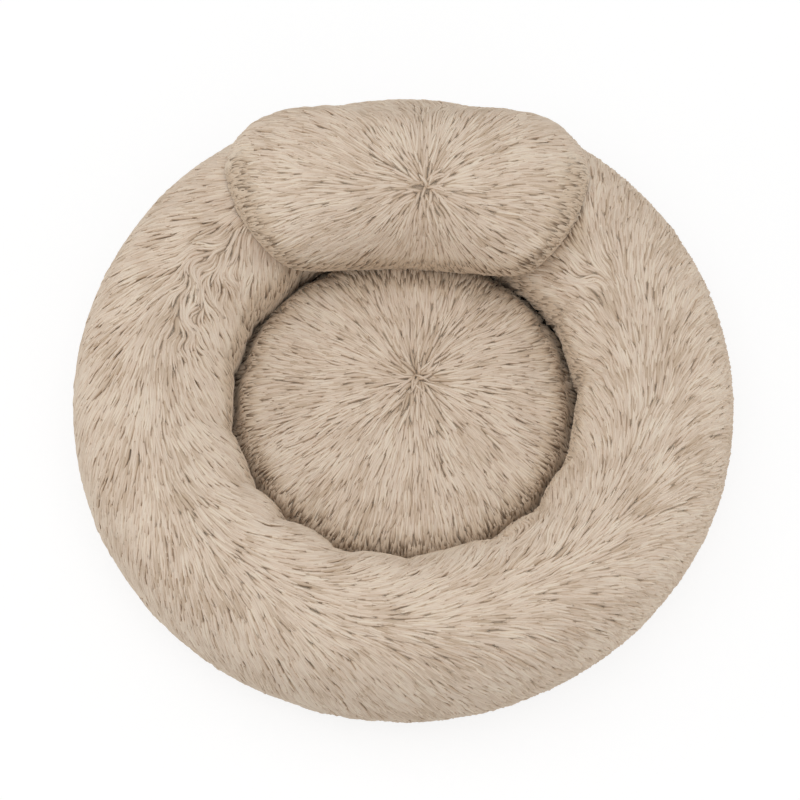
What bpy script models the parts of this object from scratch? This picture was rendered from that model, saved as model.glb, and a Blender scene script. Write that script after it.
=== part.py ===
"""Round plush pet bed with a head pillow, at rest on the floor.

The bed is a stuffed ring with a padded seat inside it. A head pillow is sewn in at the ring's inner seam
and lies back over the ring. The base cloth is two panels with a zip between them, which lets the seat's
insert out. The origin is on the floor in the middle of the bed, +Z is up and +Y is the rear, where the
pillow is. Lengths are in metres and angles in degrees.
"""

import math

import bmesh
import bpy
from mathutils import Matrix, Vector

# Driving dimensions of the ring
OUTER_DIAMETER = 0.700
BOLSTER_RADIUS = 0.088
BOLSTER_INNER_HALF_WIDTH = 0.082
SETTLING = 0.011
OUTER_ROUNDNESS = 2.3
INNER_ROUNDNESS = 2.1
OUTER_SEAM_TURN = -50
INNER_SEAM_TURN = 222

# Cloths: the fur counts with its pile combed down
FUR_THICKNESS = 0.012
PANEL_THICKNESS = 0.0015
LINER_THICKNESS = 0.0008
BACKING_THICKNESS = 0.0015

# Room between pieces that touch on the real bed
CLEARANCE = 0.0004
SEAM_GAP = 0.0006
REST_GAP = 0.0014
LAYER_GAP = 0.0012

# Gathers of the fur where it is drawn in to the inner seam: (azimuth, depth share, half width)
GATHER_DEPTH = 0.009
GATHER_START_TURN = 95
GATHER_FULL_TURN = 158
GATHER_END_TURN = 175
GATHERS_AND_DEPTH_SHARES = (
    (6, 0.35, 5),
    (31, 1.00, 6),
    (54, 0.45, 5),
    (127, 0.55, 6),
    (150, 0.95, 7),
    (168, 0.45, 6),
    (191, 0.30, 5),
    (214, 0.90, 6),
    (229, 0.70, 5),
    (250, 1.00, 6),
    (272, 0.35, 5),
    (301, 0.85, 6),
    (316, 1.00, 6),
    (338, 0.55, 6),
)

# Seat
SEAT_EDGE_RISE = 0.003
SEAT_CROWN = 0.017
SEAT_FULLNESS = 3.0
SEAT_EASE = 0.6
SEAT_STATION_SHARES = (0, 0.3, 0.55, 0.74, 0.87, 0.95, 1)
SEAT_INNER_STATION_SHARES = (0, 0.4, 0.74, 0.93, 1)
LINER_INSET = 0.004
LINER_MOUTH_RADIUS = 0.030
FILLING_MOUTH_RADIUS = 0.018

# Base cloth
BASE_LIFT = 0.010
BASE_LIFT_RIM = 0.092
BASE_LIFT_STEPS = 3
BASE_RIM_TURNS = (-55, -61, -67)
BASE_FOOT_TURN = -113
FILLING_FOOT_TURNS = (-54, -59, -67, -113, -121, -133)

# Pillow, laid back over the ring
PILLOW_WIDTH_SHARE = 0.549
PILLOW_FRONT_WIDTH_SHARE = 0.67
PILLOW_REAR_WIDTH_SHARE = 0.860
PILLOW_WIDEST_SHARE = 0.6
PILLOW_THICKNESS = 0.052
PILLOW_EDGE_THICKNESS = 0.008
PILLOW_FULLNESS = 2.5
PILLOW_CORNER_SHARE = 0.24
PILLOW_OFFSET = 0.004
PILLOW_FRONT_TURN = 176
PILLOW_REAR_TURN = 66
PILLOW_END_TURN = 50
PILLOW_AXIS_RIM = 0.035
PILLOW_AXIS_RISE = 0.018
PILLOW_HOLLOW_SHARE = 0.90
PILLOW_FILLING_SHARE = 0.88
PILLOW_BACKING_SHARE = 0.97

# Zip
ZIP_RIM = 0.08195
ZIP_TAPE_WIDTH = 0.014
ZIP_TAPE_THICKNESS = 0.0006
ZIP_TAPE_END = 0.010
ZIP_TAPE_SPLIT = 0.0034
ZIP_SLOT_WIDTH = 0.015
TOOTH_PITCH = 0.0045
TOOTH_THICKNESS = 0.0024
TOOTH_REACH = 0.0009
TOOTH_GAP = 0.0004
TOOTH_PHASE_SHARES = (0.25, 0.75)
BEAD_INNER = 0.0013
BEAD_OUTER = 0.0029
STOP_LENGTH = 0.003
STOP_INNER = 0.0016
START_STOP_WIDTH = 0.0076
SLIDER_LENGTH = 0.012
SLIDER_MOUTH_WIDTH = 0.0104
SLIDER_TAIL_WIDTH = 0.0088
SLIDER_PLATE_THICKNESS = 0.0012
SLIDER_FLANGE_WIDTH = 0.0009
SLIDER_POST_LENGTH = 0.004
SLIDER_POST_WIDTH = 0.0022
SLIDER_RUNNING_GAP = 0.0004
BAIL_WIDTH = 0.0016
BAIL_WIRE = 0.0011
BAIL_HOLLOW_HEIGHT = 0.0022
BAIL_HOLLOW_LENGTH = 0.0032
PULL_THICKNESS = 0.0012
PULL_EYE_WIDTH = 0.0030
PULL_EYE_LENGTH = 0.0042
PULL_NECK_WIDTH = 0.0052
PULL_TIP_WIDTH = 0.0070
PULL_LENGTH = 0.021
PULL_FLOOR_GAP = 0.0006

# Facets
AROUND = 56
AROUND_INSIDE = 28
COVER_STATIONS = 13
LINING_STATIONS = 7
PILLOW_COLUMNS = 16
PILLOW_ROWS = 18
PILLOW_CROWDING = 60
LAYER_COLUMNS = 14
LAYER_ROWS = 18
ROUND_END_STEPS = 8
OVERRUN = 0.002
MERGE_DISTANCE = 0.000001
SHARP_ANGLE = 40

# Worked out from the sizes above
OUTER_RADIUS = OUTER_DIAMETER / 2
RING_RADIUS = OUTER_RADIUS - BOLSTER_RADIUS
RING_HEIGHT = BOLSTER_RADIUS - SETTLING
PANEL_INSET = (FUR_THICKNESS - PANEL_THICKNESS) / 2
SEAM_TURN = math.degrees(CLEARANCE / BOLSTER_RADIUS)
BASE_TOP = BASE_LIFT + PANEL_THICKNESS
TAPE_LOW = BASE_TOP + CLEARANCE
TAPE_HIGH = TAPE_LOW + ZIP_TAPE_THICKNESS
TOOTH_HIGH = TAPE_LOW - CLEARANCE
TOOTH_LOW = TOOTH_HIGH - TOOTH_THICKNESS
SLIDER_LOWER_TOP = TOOTH_LOW - SLIDER_RUNNING_GAP
SLIDER_LOW = SLIDER_LOWER_TOP - SLIDER_PLATE_THICKNESS
SLIDER_UPPER_LOW = TAPE_HIGH + SLIDER_RUNNING_GAP
SLIDER_HIGH = SLIDER_UPPER_LOW + SLIDER_PLATE_THICKNESS
INSERT_LOW = SLIDER_HIGH + CLEARANCE
PULL_AXIS_HEIGHT = SLIDER_LOW - BAIL_HOLLOW_HEIGHT / 2
PULL_DROP = math.degrees(math.asin((PULL_AXIS_HEIGHT - PULL_THICKNESS - PULL_FLOOR_GAP) / PULL_LENGTH))
PILLOW_WIDTH = OUTER_DIAMETER * PILLOW_WIDTH_SHARE
PILLOW_FRONT_WIDTH = PILLOW_WIDTH * PILLOW_FRONT_WIDTH_SHARE
PILLOW_REAR_WIDTH = PILLOW_WIDTH * PILLOW_REAR_WIDTH_SHARE


def inner_wall_radius(height):
    """Radius of the ring's inner wall at this height."""
    away = abs(RING_HEIGHT - height) / BOLSTER_RADIUS
    across = (1 - away**INNER_ROUNDNESS) ** (1 / INNER_ROUNDNESS)
    return RING_RADIUS - BOLSTER_INNER_HALF_WIDTH * across


# The seat reaches the ring's inner wall, the pillow's seam follows the seat, and the zip the ring
SEAT_EDGE_HEIGHT = RING_HEIGHT + SEAT_EDGE_RISE
SEAT_RADIUS = inner_wall_radius(SEAT_EDGE_HEIGHT) - CLEARANCE
BASE_LIFT_RADIUS = RING_RADIUS - BASE_LIFT_RIM
CHAIN_END = RING_RADIUS - ZIP_RIM
SLIDER_PLACE = CHAIN_END - SLIDER_RUNNING_GAP
PILLOW_AXIS_BACK = SEAT_RADIUS - PILLOW_AXIS_RIM
PILLOW_AXIS_HEIGHT = SEAT_EDGE_HEIGHT + PILLOW_AXIS_RISE


def material(name, colour, roughness, metallic=0.0):
    """A plain surface in one colour."""
    made = bpy.data.materials.new(name)
    made.use_nodes = True
    shader = made.node_tree.nodes["Principled BSDF"]
    shader.inputs["Base Color"].default_value = (*colour, 1.0)
    shader.inputs["Roughness"].default_value = roughness
    shader.inputs["Metallic"].default_value = metallic
    return made


def finished(name, mesh, surface, origin=(0, 0, 0)):
    """An object of this mesh, given in world places, with its origin at the place named."""
    maker = bmesh.new()
    maker.from_mesh(mesh)
    bmesh.ops.remove_doubles(maker, verts=maker.verts, dist=MERGE_DISTANCE)
    bmesh.ops.recalc_face_normals(maker, faces=maker.faces)
    maker.to_mesh(mesh)
    maker.free()
    mesh.transform(Matrix.Translation(-Vector(origin)))
    mesh.shade_smooth()
    mesh.set_sharp_from_angle(angle=math.radians(SHARP_ANGLE))
    made = bpy.data.objects.new(name, mesh)
    made.location = origin
    made.data.materials.append(surface)
    bpy.context.collection.objects.link(made)
    return made


def object_of_faces(name, points, faces, surface, origin=(0, 0, 0)):
    mesh = bpy.data.meshes.new(name)
    mesh.from_pydata(points, [], faces)
    return finished(name, mesh, surface, origin)


def around(azimuth, radius, height):
    """The place at this azimuth, counted from +X towards +Y."""
    angle = math.radians(azimuth)
    return Vector((radius * math.cos(angle), radius * math.sin(angle), height))


def steps(first, last, count):
    """count + 1 values, evenly spaced."""
    return [first + (last - first) * k / count for k in range(count + 1)]


def ring_of_sections(name, sections, surface):
    """A closed solid whose closed sections go right round the bed."""
    size = len(sections[0])
    points = [point for section in sections for point in section]
    faces = []
    for k in range(len(sections)):
        here = k * size
        there = (k + 1) % len(sections) * size
        for i in range(size):
            j = (i + 1) % size
            faces.append((here + i, here + j, there + j, there + i))
    return object_of_faces(name, points, faces, surface)


def turned(name, outline, segments, surface):
    """A solid turned about the bed's axis from a closed outline of (radius, height)."""
    maker = bmesh.new()
    corners = [maker.verts.new((radius, 0, height)) for radius, height in outline]
    edges = []
    for here, there in zip(corners, corners[1:] + corners[:1]):
        if here.co.x > 0 or there.co.x > 0:
            edges.append(maker.edges.new((here, there)))
    bmesh.ops.spin(
        maker,
        geom=corners + edges,
        axis=(0, 0, 1),
        cent=(0, 0, 0),
        angle=math.tau,
        steps=segments,
        use_merge=True,
    )
    bmesh.ops.remove_doubles(maker, verts=maker.verts, dist=MERGE_DISTANCE)
    bmesh.ops.dissolve_degenerate(maker, edges=maker.edges, dist=MERGE_DISTANCE)
    mesh = bpy.data.meshes.new(name)
    maker.to_mesh(mesh)
    maker.free()
    return finished(name, mesh, surface)


def prism(name, outline, low, high, surface, origin=(0, 0, 0)):
    """A flat outline of (x, y), drawn up from one height to another."""
    maker = bmesh.new()
    face = maker.faces.new([maker.verts.new((x, y, low)) for x, y in outline])
    drawn = bmesh.ops.extrude_face_region(maker, geom=[face])
    risen = [piece for piece in drawn["geom"] if isinstance(piece, bmesh.types.BMVert)]
    bmesh.ops.translate(maker, verts=risen, vec=(0, 0, high - low))
    mesh = bpy.data.meshes.new(name)
    maker.to_mesh(mesh)
    maker.free()
    return finished(name, mesh, surface, origin)


def block(name, low, high, surface, origin=(0, 0, 0)):
    outline = [(low[0], low[1]), (high[0], low[1]), (high[0], high[1]), (low[0], high[1])]
    return prism(name, outline, low[2], high[2], surface, origin)


def helper(tool):
    """Keeps a cutting or joining shape out of the model itself."""
    tool.hide_render = True
    tool.display_type = "WIRE"
    return tool


def boolean(target, tool, operation):
    modifier = target.modifiers.new(operation.lower(), "BOOLEAN")
    modifier.operation = operation
    modifier.object = helper(tool)


def gather(azimuth, turn):
    """How deep the fur is drawn in at this place on the ring."""
    rise = (turn - GATHER_START_TURN) / (GATHER_FULL_TURN - GATHER_START_TURN)
    if turn > GATHER_FULL_TURN:
        rise = (GATHER_END_TURN - turn) / (GATHER_END_TURN - GATHER_FULL_TURN)
    rise = min(max(rise, 0), 1)
    depth = 0
    for middle, share, half_width in GATHERS_AND_DEPTH_SHARES:
        away = (azimuth - middle + 180) % 360 - 180
        depth += share * math.exp(-((away / half_width) ** 2))
    return GATHER_DEPTH * depth * rise * rise * (3 - 2 * rise)


def section_point(turn, inset):
    """(radius, height) on the ring's section, turned up from its outer side, this far under its fur."""
    across = math.cos(math.radians(turn))
    up = math.sin(math.radians(turn))
    half_width = BOLSTER_RADIUS if across > 0 else BOLSTER_INNER_HALF_WIDTH
    power = 2 / (OUTER_ROUNDNESS if across > 0 else INNER_ROUNDNESS)
    across = math.copysign(abs(across) ** power, across)
    up = math.copysign(abs(up) ** power, up)
    return RING_RADIUS + (half_width - inset) * across, RING_HEIGHT + (BOLSTER_RADIUS - inset) * up


def bolster_point(azimuth, turn, inset):
    return around(azimuth, *section_point(turn, inset + gather(azimuth, turn)))


def azimuths(count):
    return [360 * k / count for k in range(count)]


def bolster_cover(surface):
    """Fur sleeve: outer side, crown and inner side. The base cloth closes it underneath."""
    outside = steps(OUTER_SEAM_TURN, INNER_SEAM_TURN, COVER_STATIONS)
    inside = steps(INNER_SEAM_TURN, OUTER_SEAM_TURN, LINING_STATIONS)
    sections = []
    for azimuth in azimuths(AROUND):
        fur = [bolster_point(azimuth, turn, 0) for turn in outside]
        back = [bolster_point(azimuth, turn, FUR_THICKNESS) for turn in inside]
        sections.append(fur + back)
    return ring_of_sections("bolster_cover", sections, surface)


def bolster_filling(surface):
    """Fibre ring inside the sleeve, flat where it stands on the base cloth."""
    turns = steps(INNER_SEAM_TURN, OUTER_SEAM_TURN, LINING_STATIONS)
    lowest = PANEL_THICKNESS + CLEARANCE
    under = PANEL_INSET + PANEL_THICKNESS + CLEARANCE
    sections = []
    for azimuth in azimuths(AROUND):
        section = [bolster_point(azimuth, turn, FUR_THICKNESS + CLEARANCE) for turn in turns]
        for turn in FILLING_FOOT_TURNS:
            radius, height = section_point(turn, under)
            section.append(around(azimuth, radius, max(height, lowest)))
        sections.append(section)
    return ring_of_sections("bolster_filling", sections, surface)


def base_outline():
    """Half section of the base cloth: lifted in the middle, flat under the ring, turned up to the seam."""
    rim = (OUTER_SEAM_TURN - SEAM_TURN, *BASE_RIM_TURNS)
    lower = [section_point(turn, PANEL_INSET) for turn in rim]
    upper = [section_point(turn, PANEL_INSET + PANEL_THICKNESS) for turn in rim]
    lower = [(radius, max(height, 0)) for radius, height in lower]
    upper = [(radius, max(height, PANEL_THICKNESS)) for radius, height in upper]
    foot_radius = section_point(BASE_FOOT_TURN, PANEL_INSET)[0]
    for share in steps(0, 1, BASE_LIFT_STEPS):
        radius = foot_radius + (BASE_LIFT_RADIUS - foot_radius) * share
        height = BASE_LIFT * (1 - math.cos(math.pi * share)) / 2
        lower.append((radius, height))
        upper.append((radius, height + PANEL_THICKNESS))
    lower.append((0, BASE_LIFT))
    upper.append((0, BASE_TOP))
    return lower + upper[::-1]


def base_panel(name, side, surface):
    """One half of the base cloth. side is -1 in front and +1 behind."""
    panel = turned(name, base_outline(), AROUND, surface)
    reach = OUTER_RADIUS + OVERRUN
    low = [-reach, -reach, -OVERRUN]
    high = [reach, reach, RING_HEIGHT]
    if side < 0:
        low[1] = -SEAM_GAP / 2
    else:
        high[1] = SEAM_GAP / 2
    boolean(panel, block(name + "_half_cutter", low, high, surface), "DIFFERENCE")
    slot = (CHAIN_END + ZIP_TAPE_END, ZIP_SLOT_WIDTH / 2)
    low = (-slot[0], -slot[1], -OVERRUN)
    high = (*slot, RING_HEIGHT)
    boolean(panel, block(name + "_slot_cutter", low, high, surface), "DIFFERENCE")
    return panel


def seat_height(share):
    """Height of the seat's fur at this share of its radius."""
    return SEAT_EDGE_HEIGHT + SEAT_CROWN * (1 - share**SEAT_FULLNESS) ** SEAT_EASE


def seat_cover(surface):
    """Fur panel over the seat, domed, with its edge drawn down to the inner seam."""
    upper = [(SEAT_RADIUS * share, seat_height(share)) for share in SEAT_STATION_SHARES]
    lower = [
        (SEAT_RADIUS * share, seat_height(share) - FUR_THICKNESS) for share in SEAT_INNER_STATION_SHARES
    ]
    return turned("seat_cover", upper + lower[::-1], AROUND, surface)


def insert_outline(depth, mouth_radius):
    """Half section of the seat's insert, this deep under the liner's outer face, open at a round mouth."""
    radius = SEAT_RADIUS - LINER_INSET - depth
    top = -FUR_THICKNESS - CLEARANCE - depth
    points = [(radius * share, seat_height(share) + top) for share in SEAT_INNER_STATION_SHARES]
    points.append((radius, INSERT_LOW + depth))
    points.append((mouth_radius, INSERT_LOW + depth))
    return points


def seat_liner(surface):
    """Bag that holds the seat's filling, open at its stuffing mouth underneath."""
    outside = insert_outline(0, LINER_MOUTH_RADIUS)
    inside = insert_outline(LINER_THICKNESS, LINER_MOUTH_RADIUS)
    return turned("seat_liner", outside + inside[::-1], AROUND_INSIDE, surface)


def seat_filling(surface):
    outline = insert_outline(LINER_THICKNESS + CLEARANCE, FILLING_MOUTH_RADIUS)
    return turned("seat_filling", outline + [(0, outline[-1][1])], AROUND_INSIDE, surface)


def pillow_half_width(share):
    """Half the pillow's width this share of the way from its front edge to its rear edge."""
    if share < PILLOW_WIDEST_SHARE:
        end = PILLOW_FRONT_WIDTH
        swell = math.sin(math.pi / 2 * share / PILLOW_WIDEST_SHARE)
    else:
        end = PILLOW_REAR_WIDTH
        swell = math.cos(math.pi / 2 * (share - PILLOW_WIDEST_SHARE) / (1 - PILLOW_WIDEST_SHARE))
    return (end + (PILLOW_WIDTH - end) * swell) / 2


def pillow_point(across, along, height):
    """Place at this height over the ring's fur. across and along run from -1 to 1 over the pillow."""
    x_share = across * math.sqrt(1 - PILLOW_CORNER_SHARE * along**2)
    y_share = along * math.sqrt(1 - PILLOW_CORNER_SHARE * across**2)
    back = (y_share + 1) / 2
    x = x_share * pillow_half_width(back)
    turn = PILLOW_FRONT_TURN + (PILLOW_REAR_TURN - PILLOW_FRONT_TURN) * back
    turn -= PILLOW_END_TURN * (2 * x / PILLOW_WIDTH) ** 2
    x += PILLOW_OFFSET
    radius, z = section_point(turn, -height)
    return Vector((x, math.sqrt(radius**2 - x**2), z))


def pillow_height(across, along):
    """Height of the pillow's fur over the ring's fur."""
    swell = math.sqrt((1 - abs(across) ** PILLOW_FULLNESS) * (1 - abs(along) ** PILLOW_FULLNESS))
    return PILLOW_EDGE_THICKNESS + (PILLOW_THICKNESS - PILLOW_EDGE_THICKNESS) * swell


def crowded(count, reach):
    """Places from -reach to reach, closer together towards the ends."""
    most = math.radians(PILLOW_CROWDING)
    return [reach * math.sin(most * share) / math.sin(most) for share in steps(-1, 1, count)]


def pillow_sheet(columns, rows, height_at):
    """Points of one face of the pillow, row by row."""
    sheet = []
    for along in rows:
        for across in columns:
            sheet.append(pillow_point(across, along, height_at(across, along)))
    return sheet


def sheet_faces(width, depth, start, flip):
    """Faces of a sheet that has this many points each way."""
    faces = []
    for j in range(depth - 1):
        for i in range(width - 1):
            corner = start + j * width + i
            face = (corner, corner + 1, corner + width + 1, corner + width)
            faces.append(face[::-1] if flip else face)
    return faces


def sheet_rim(width, depth, start):
    """Indices round the edge of a sheet that has this many points each way."""
    front = [start + i for i in range(width)]
    right = [start + j * width + width - 1 for j in range(1, depth)]
    rear = [start + (depth - 1) * width + i for i in range(width - 2, -1, -1)]
    left = [start + j * width for j in range(depth - 2, 0, -1)]
    return front + right + rear + left


def wall_faces(first, second):
    """Faces that join two rims with as many points."""
    faces = []
    for i in range(len(first)):
        j = (i + 1) % len(first)
        faces.append((first[i], first[j], second[j], second[i]))
    return faces


def pillow_layer(name, reach, low_at, high_at, surface, origin):
    """A closed layer of the pillow between two heights, over this share of its face."""
    columns = steps(-reach, reach, LAYER_COLUMNS)
    rows = steps(-reach, reach, LAYER_ROWS)
    lower = pillow_sheet(columns, rows, low_at)
    upper = pillow_sheet(columns, rows, high_at)
    size = (len(columns), len(rows))
    faces = sheet_faces(*size, 0, True) + sheet_faces(*size, len(lower), False)
    faces += wall_faces(sheet_rim(*size, 0), sheet_rim(*size, len(lower)))
    return object_of_faces(name, lower + upper, faces, surface, origin)


def pillow_cover(surface, origin):
    """Fur case of the pillow, hollow and open below, where the backing closes it."""

    def lip(across, along):
        return REST_GAP + BACKING_THICKNESS + LAYER_GAP

    def lining(across, along):
        return pillow_height(across, along) - FUR_THICKNESS

    outside = (crowded(PILLOW_COLUMNS, 1), crowded(PILLOW_ROWS, 1))
    inside = (crowded(PILLOW_COLUMNS, PILLOW_HOLLOW_SHARE), crowded(PILLOW_ROWS, PILLOW_HOLLOW_SHARE))
    size = (PILLOW_COLUMNS + 1, PILLOW_ROWS + 1)
    maker = bmesh.new()
    rims = []
    for places, height_at, closed in (
        (outside, pillow_height, True),
        (outside, lip, False),
        (inside, lip, False),
        (inside, lining, True),
    ):
        sheet = pillow_sheet(*places, height_at)
        kept = range(len(sheet)) if closed else sheet_rim(*size, 0)
        corners = {index: maker.verts.new(sheet[index]) for index in kept}
        rims.append([corners[index] for index in sheet_rim(*size, 0)])
        if closed:
            for face in sheet_faces(*size, 0, False):
                maker.faces.new([corners[index] for index in face])
    for first, second in zip(rims, rims[1:]):
        for face in wall_faces(range(len(first)), range(len(first), 2 * len(first))):
            maker.faces.new([(first + second)[index] for index in face])
    mesh = bpy.data.meshes.new("pillow_cover")
    maker.to_mesh(mesh)
    maker.free()
    return finished("pillow_cover", mesh, surface, origin)


def pillow_backing(surface, origin):
    """Plain cloth that closes the pillow and lies on the ring."""

    def under(across, along):
        return REST_GAP

    def over(across, along):
        return REST_GAP + BACKING_THICKNESS

    return pillow_layer("pillow_backing", PILLOW_BACKING_SHARE, under, over, surface, origin)


def pillow_filling(surface, origin):
    """Fibre that plumps the pillow."""

    def under(across, along):
        return REST_GAP + BACKING_THICKNESS + LAYER_GAP

    def over(across, along):
        return pillow_height(across, along) - FUR_THICKNESS - LAYER_GAP

    return pillow_layer("pillow_filling", PILLOW_FILLING_SHARE, under, over, surface, origin)


def zip_tape(name, side, surface):
    edges = sorted((side * ZIP_TAPE_SPLIT / 2, side * (ZIP_TAPE_SPLIT / 2 + ZIP_TAPE_WIDTH)))
    end = CHAIN_END + ZIP_TAPE_END + OVERRUN
    return block(name, (-end, edges[0], TAPE_LOW), (end, edges[1], TAPE_HIGH), surface)


def tooth_row(name, side, surface):
    """One row of teeth on its bead. The rear row's teeth stand in the gaps of the front row's."""
    half_tooth = TOOTH_PITCH / 4 - TOOTH_GAP / 2
    start = -CHAIN_END + STOP_LENGTH + SLIDER_RUNNING_GAP
    count = int((CHAIN_END - start) / TOOTH_PITCH)
    shift = TOOTH_PITCH * TOOTH_PHASE_SHARES[side > 0]
    outline = [(start, side * BEAD_OUTER), (start, side * BEAD_INNER)]
    for k in range(count):
        middle = start + shift + k * TOOTH_PITCH
        outline.append((middle - half_tooth, side * BEAD_INNER))
        outline.append((middle - half_tooth, -side * TOOTH_REACH))
        outline.append((middle + half_tooth, -side * TOOTH_REACH))
        outline.append((middle + half_tooth, side * BEAD_INNER))
    end = start + count * TOOTH_PITCH
    outline += [(end, side * BEAD_INNER), (end, side * BEAD_OUTER)]
    return prism(name, outline, TOOTH_LOW, TOOTH_HIGH, surface)


def zip_start_stop(surface):
    """Clamp across both rows where the zip starts, too wide to pass between the slider's lips."""
    low = (-CHAIN_END, -START_STOP_WIDTH / 2, TOOTH_LOW)
    high = (-CHAIN_END + STOP_LENGTH, START_STOP_WIDTH / 2, TOOTH_HIGH)
    return block("zip_start_stop", low, high, surface)


def zip_end_stop(name, side, surface):
    """Stop of one row, beside the slider's post when the zip is closed."""
    edges = sorted((side * STOP_INNER, side * BEAD_OUTER))
    low = (SLIDER_PLACE + SLIDER_RUNNING_GAP, edges[0], TOOTH_LOW)
    high = (SLIDER_PLACE + SLIDER_RUNNING_GAP + STOP_LENGTH, edges[1], TOOTH_HIGH)
    return block(name, low, high, surface)


def slider_outline():
    """Plan of the slider: widest at its mouth, which points to +X."""
    half_length = SLIDER_LENGTH / 2
    mouth = SLIDER_MOUTH_WIDTH / 2
    tail = SLIDER_TAIL_WIDTH / 2
    corner = SLIDER_FLANGE_WIDTH
    right = [
        (half_length, mouth - corner),
        (half_length - corner, mouth),
        (0, mouth),
        (-half_length / 2, tail),
        (-half_length + corner, tail),
        (-half_length, tail - corner),
    ]
    left = [(x, -y) for x, y in right[::-1]]
    return [(x + SLIDER_PLACE, y) for x, y in right + left]


def slider_flange(name, side, low, high, surface):
    """Lip along one side of a plate, which keeps the rows between the plates."""
    outline = []
    half_length = SLIDER_LENGTH / 2 - SLIDER_FLANGE_WIDTH
    for x, width in ((half_length, SLIDER_MOUTH_WIDTH), (0, SLIDER_MOUTH_WIDTH)):
        outline.append((SLIDER_PLACE + x, side * width / 2))
    outline.append((SLIDER_PLACE - SLIDER_LENGTH / 4, side * SLIDER_TAIL_WIDTH / 2))
    outline.append((SLIDER_PLACE - half_length, side * SLIDER_TAIL_WIDTH / 2))
    inner = [(x, y - side * SLIDER_FLANGE_WIDTH) for x, y in outline[::-1]]
    return prism(name, outline + inner, low, high, surface)


def slider_post(surface):
    """Wedge that parts the rows and carries the upper plate."""
    front = SLIDER_PLACE + SLIDER_LENGTH / 2 - SLIDER_FLANGE_WIDTH
    middle = front - SLIDER_POST_LENGTH / 2
    half = SLIDER_POST_WIDTH / 2
    outline = [(front, half), (middle, half), (front - SLIDER_POST_LENGTH, half / 2)]
    outline += [(x, -y) for x, y in outline[::-1]]
    high = SLIDER_UPPER_LOW + SLIDER_PLATE_THICKNESS / 2
    return prism("slider_post", outline, SLIDER_LOWER_TOP - SLIDER_PLATE_THICKNESS / 2, high, surface)


def slider_bail(surface):
    """Loop under the lower plate that the pull hangs in."""
    half_length = BAIL_HOLLOW_LENGTH / 2 + BAIL_WIRE
    low = SLIDER_LOW - BAIL_HOLLOW_HEIGHT - BAIL_WIRE
    bail = block(
        "slider_bail",
        (SLIDER_PLACE - half_length, -BAIL_WIDTH / 2, low),
        (SLIDER_PLACE + half_length, BAIL_WIDTH / 2, SLIDER_LOW + SLIDER_PLATE_THICKNESS / 2),
        surface,
    )
    hollow = block(
        "slider_bail_hollow",
        (SLIDER_PLACE - BAIL_HOLLOW_LENGTH / 2, -BAIL_WIDTH, low + BAIL_WIRE),
        (SLIDER_PLACE + BAIL_HOLLOW_LENGTH / 2, BAIL_WIDTH, SLIDER_LOW),
        surface,
    )
    boolean(bail, hollow, "DIFFERENCE")
    return bail


def zip_slider(surface):
    """Two plates on a post, with lips that guide the rows and a loop for the pull."""
    place = (SLIDER_PLACE, 0, 0)
    slider = prism("zip_slider", slider_outline(), SLIDER_LOW, SLIDER_LOWER_TOP, surface, place)
    upper = prism("slider_upper_plate", slider_outline(), SLIDER_UPPER_LOW, SLIDER_HIGH, surface)
    boolean(slider, slider_post(surface), "UNION")
    boolean(slider, upper, "UNION")
    lip_low = SLIDER_LOWER_TOP - SLIDER_PLATE_THICKNESS / 2
    for side, word in ((-1, "front"), (1, "rear")):
        lip = slider_flange("slider_lip_" + word, side, lip_low, TAPE_LOW - SLIDER_RUNNING_GAP, surface)
        boolean(slider, lip, "UNION")
    boolean(slider, slider_bail(surface), "UNION")
    return slider


def pull_outline():
    """Plan of the pull before it drops: its bar at 0, its round tip towards -X."""
    half_neck = PULL_NECK_WIDTH / 2
    half_tip = PULL_TIP_WIDTH / 2
    outline = [(PULL_THICKNESS / 2, half_neck), (-PULL_EYE_LENGTH, half_neck)]
    middle = -PULL_LENGTH + half_tip
    for turn in steps(90, 270, ROUND_END_STEPS):
        angle = math.radians(turn)
        outline.append((middle + half_tip * math.cos(angle), half_tip * math.sin(angle)))
    return outline + [(-PULL_EYE_LENGTH, -half_neck), (PULL_THICKNESS / 2, -half_neck)]


def zip_pull(surface):
    """Tab that hangs in the slider's loop, with its tip just clear of the floor."""
    axis = Vector((SLIDER_PLACE, 0, PULL_AXIS_HEIGHT))
    half = PULL_THICKNESS / 2
    pull = prism("zip_pull", pull_outline(), -half, half, surface)
    eye_low = (-half - PULL_EYE_LENGTH, -PULL_EYE_WIDTH / 2, -PULL_THICKNESS)
    eye = block("pull_eye", eye_low, (-half, PULL_EYE_WIDTH / 2, PULL_THICKNESS), surface)
    boolean(pull, eye, "DIFFERENCE")
    for piece in (pull, eye):
        piece.location = axis
        piece.rotation_euler = (0, math.radians(-PULL_DROP), 0)
    return pull


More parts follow.
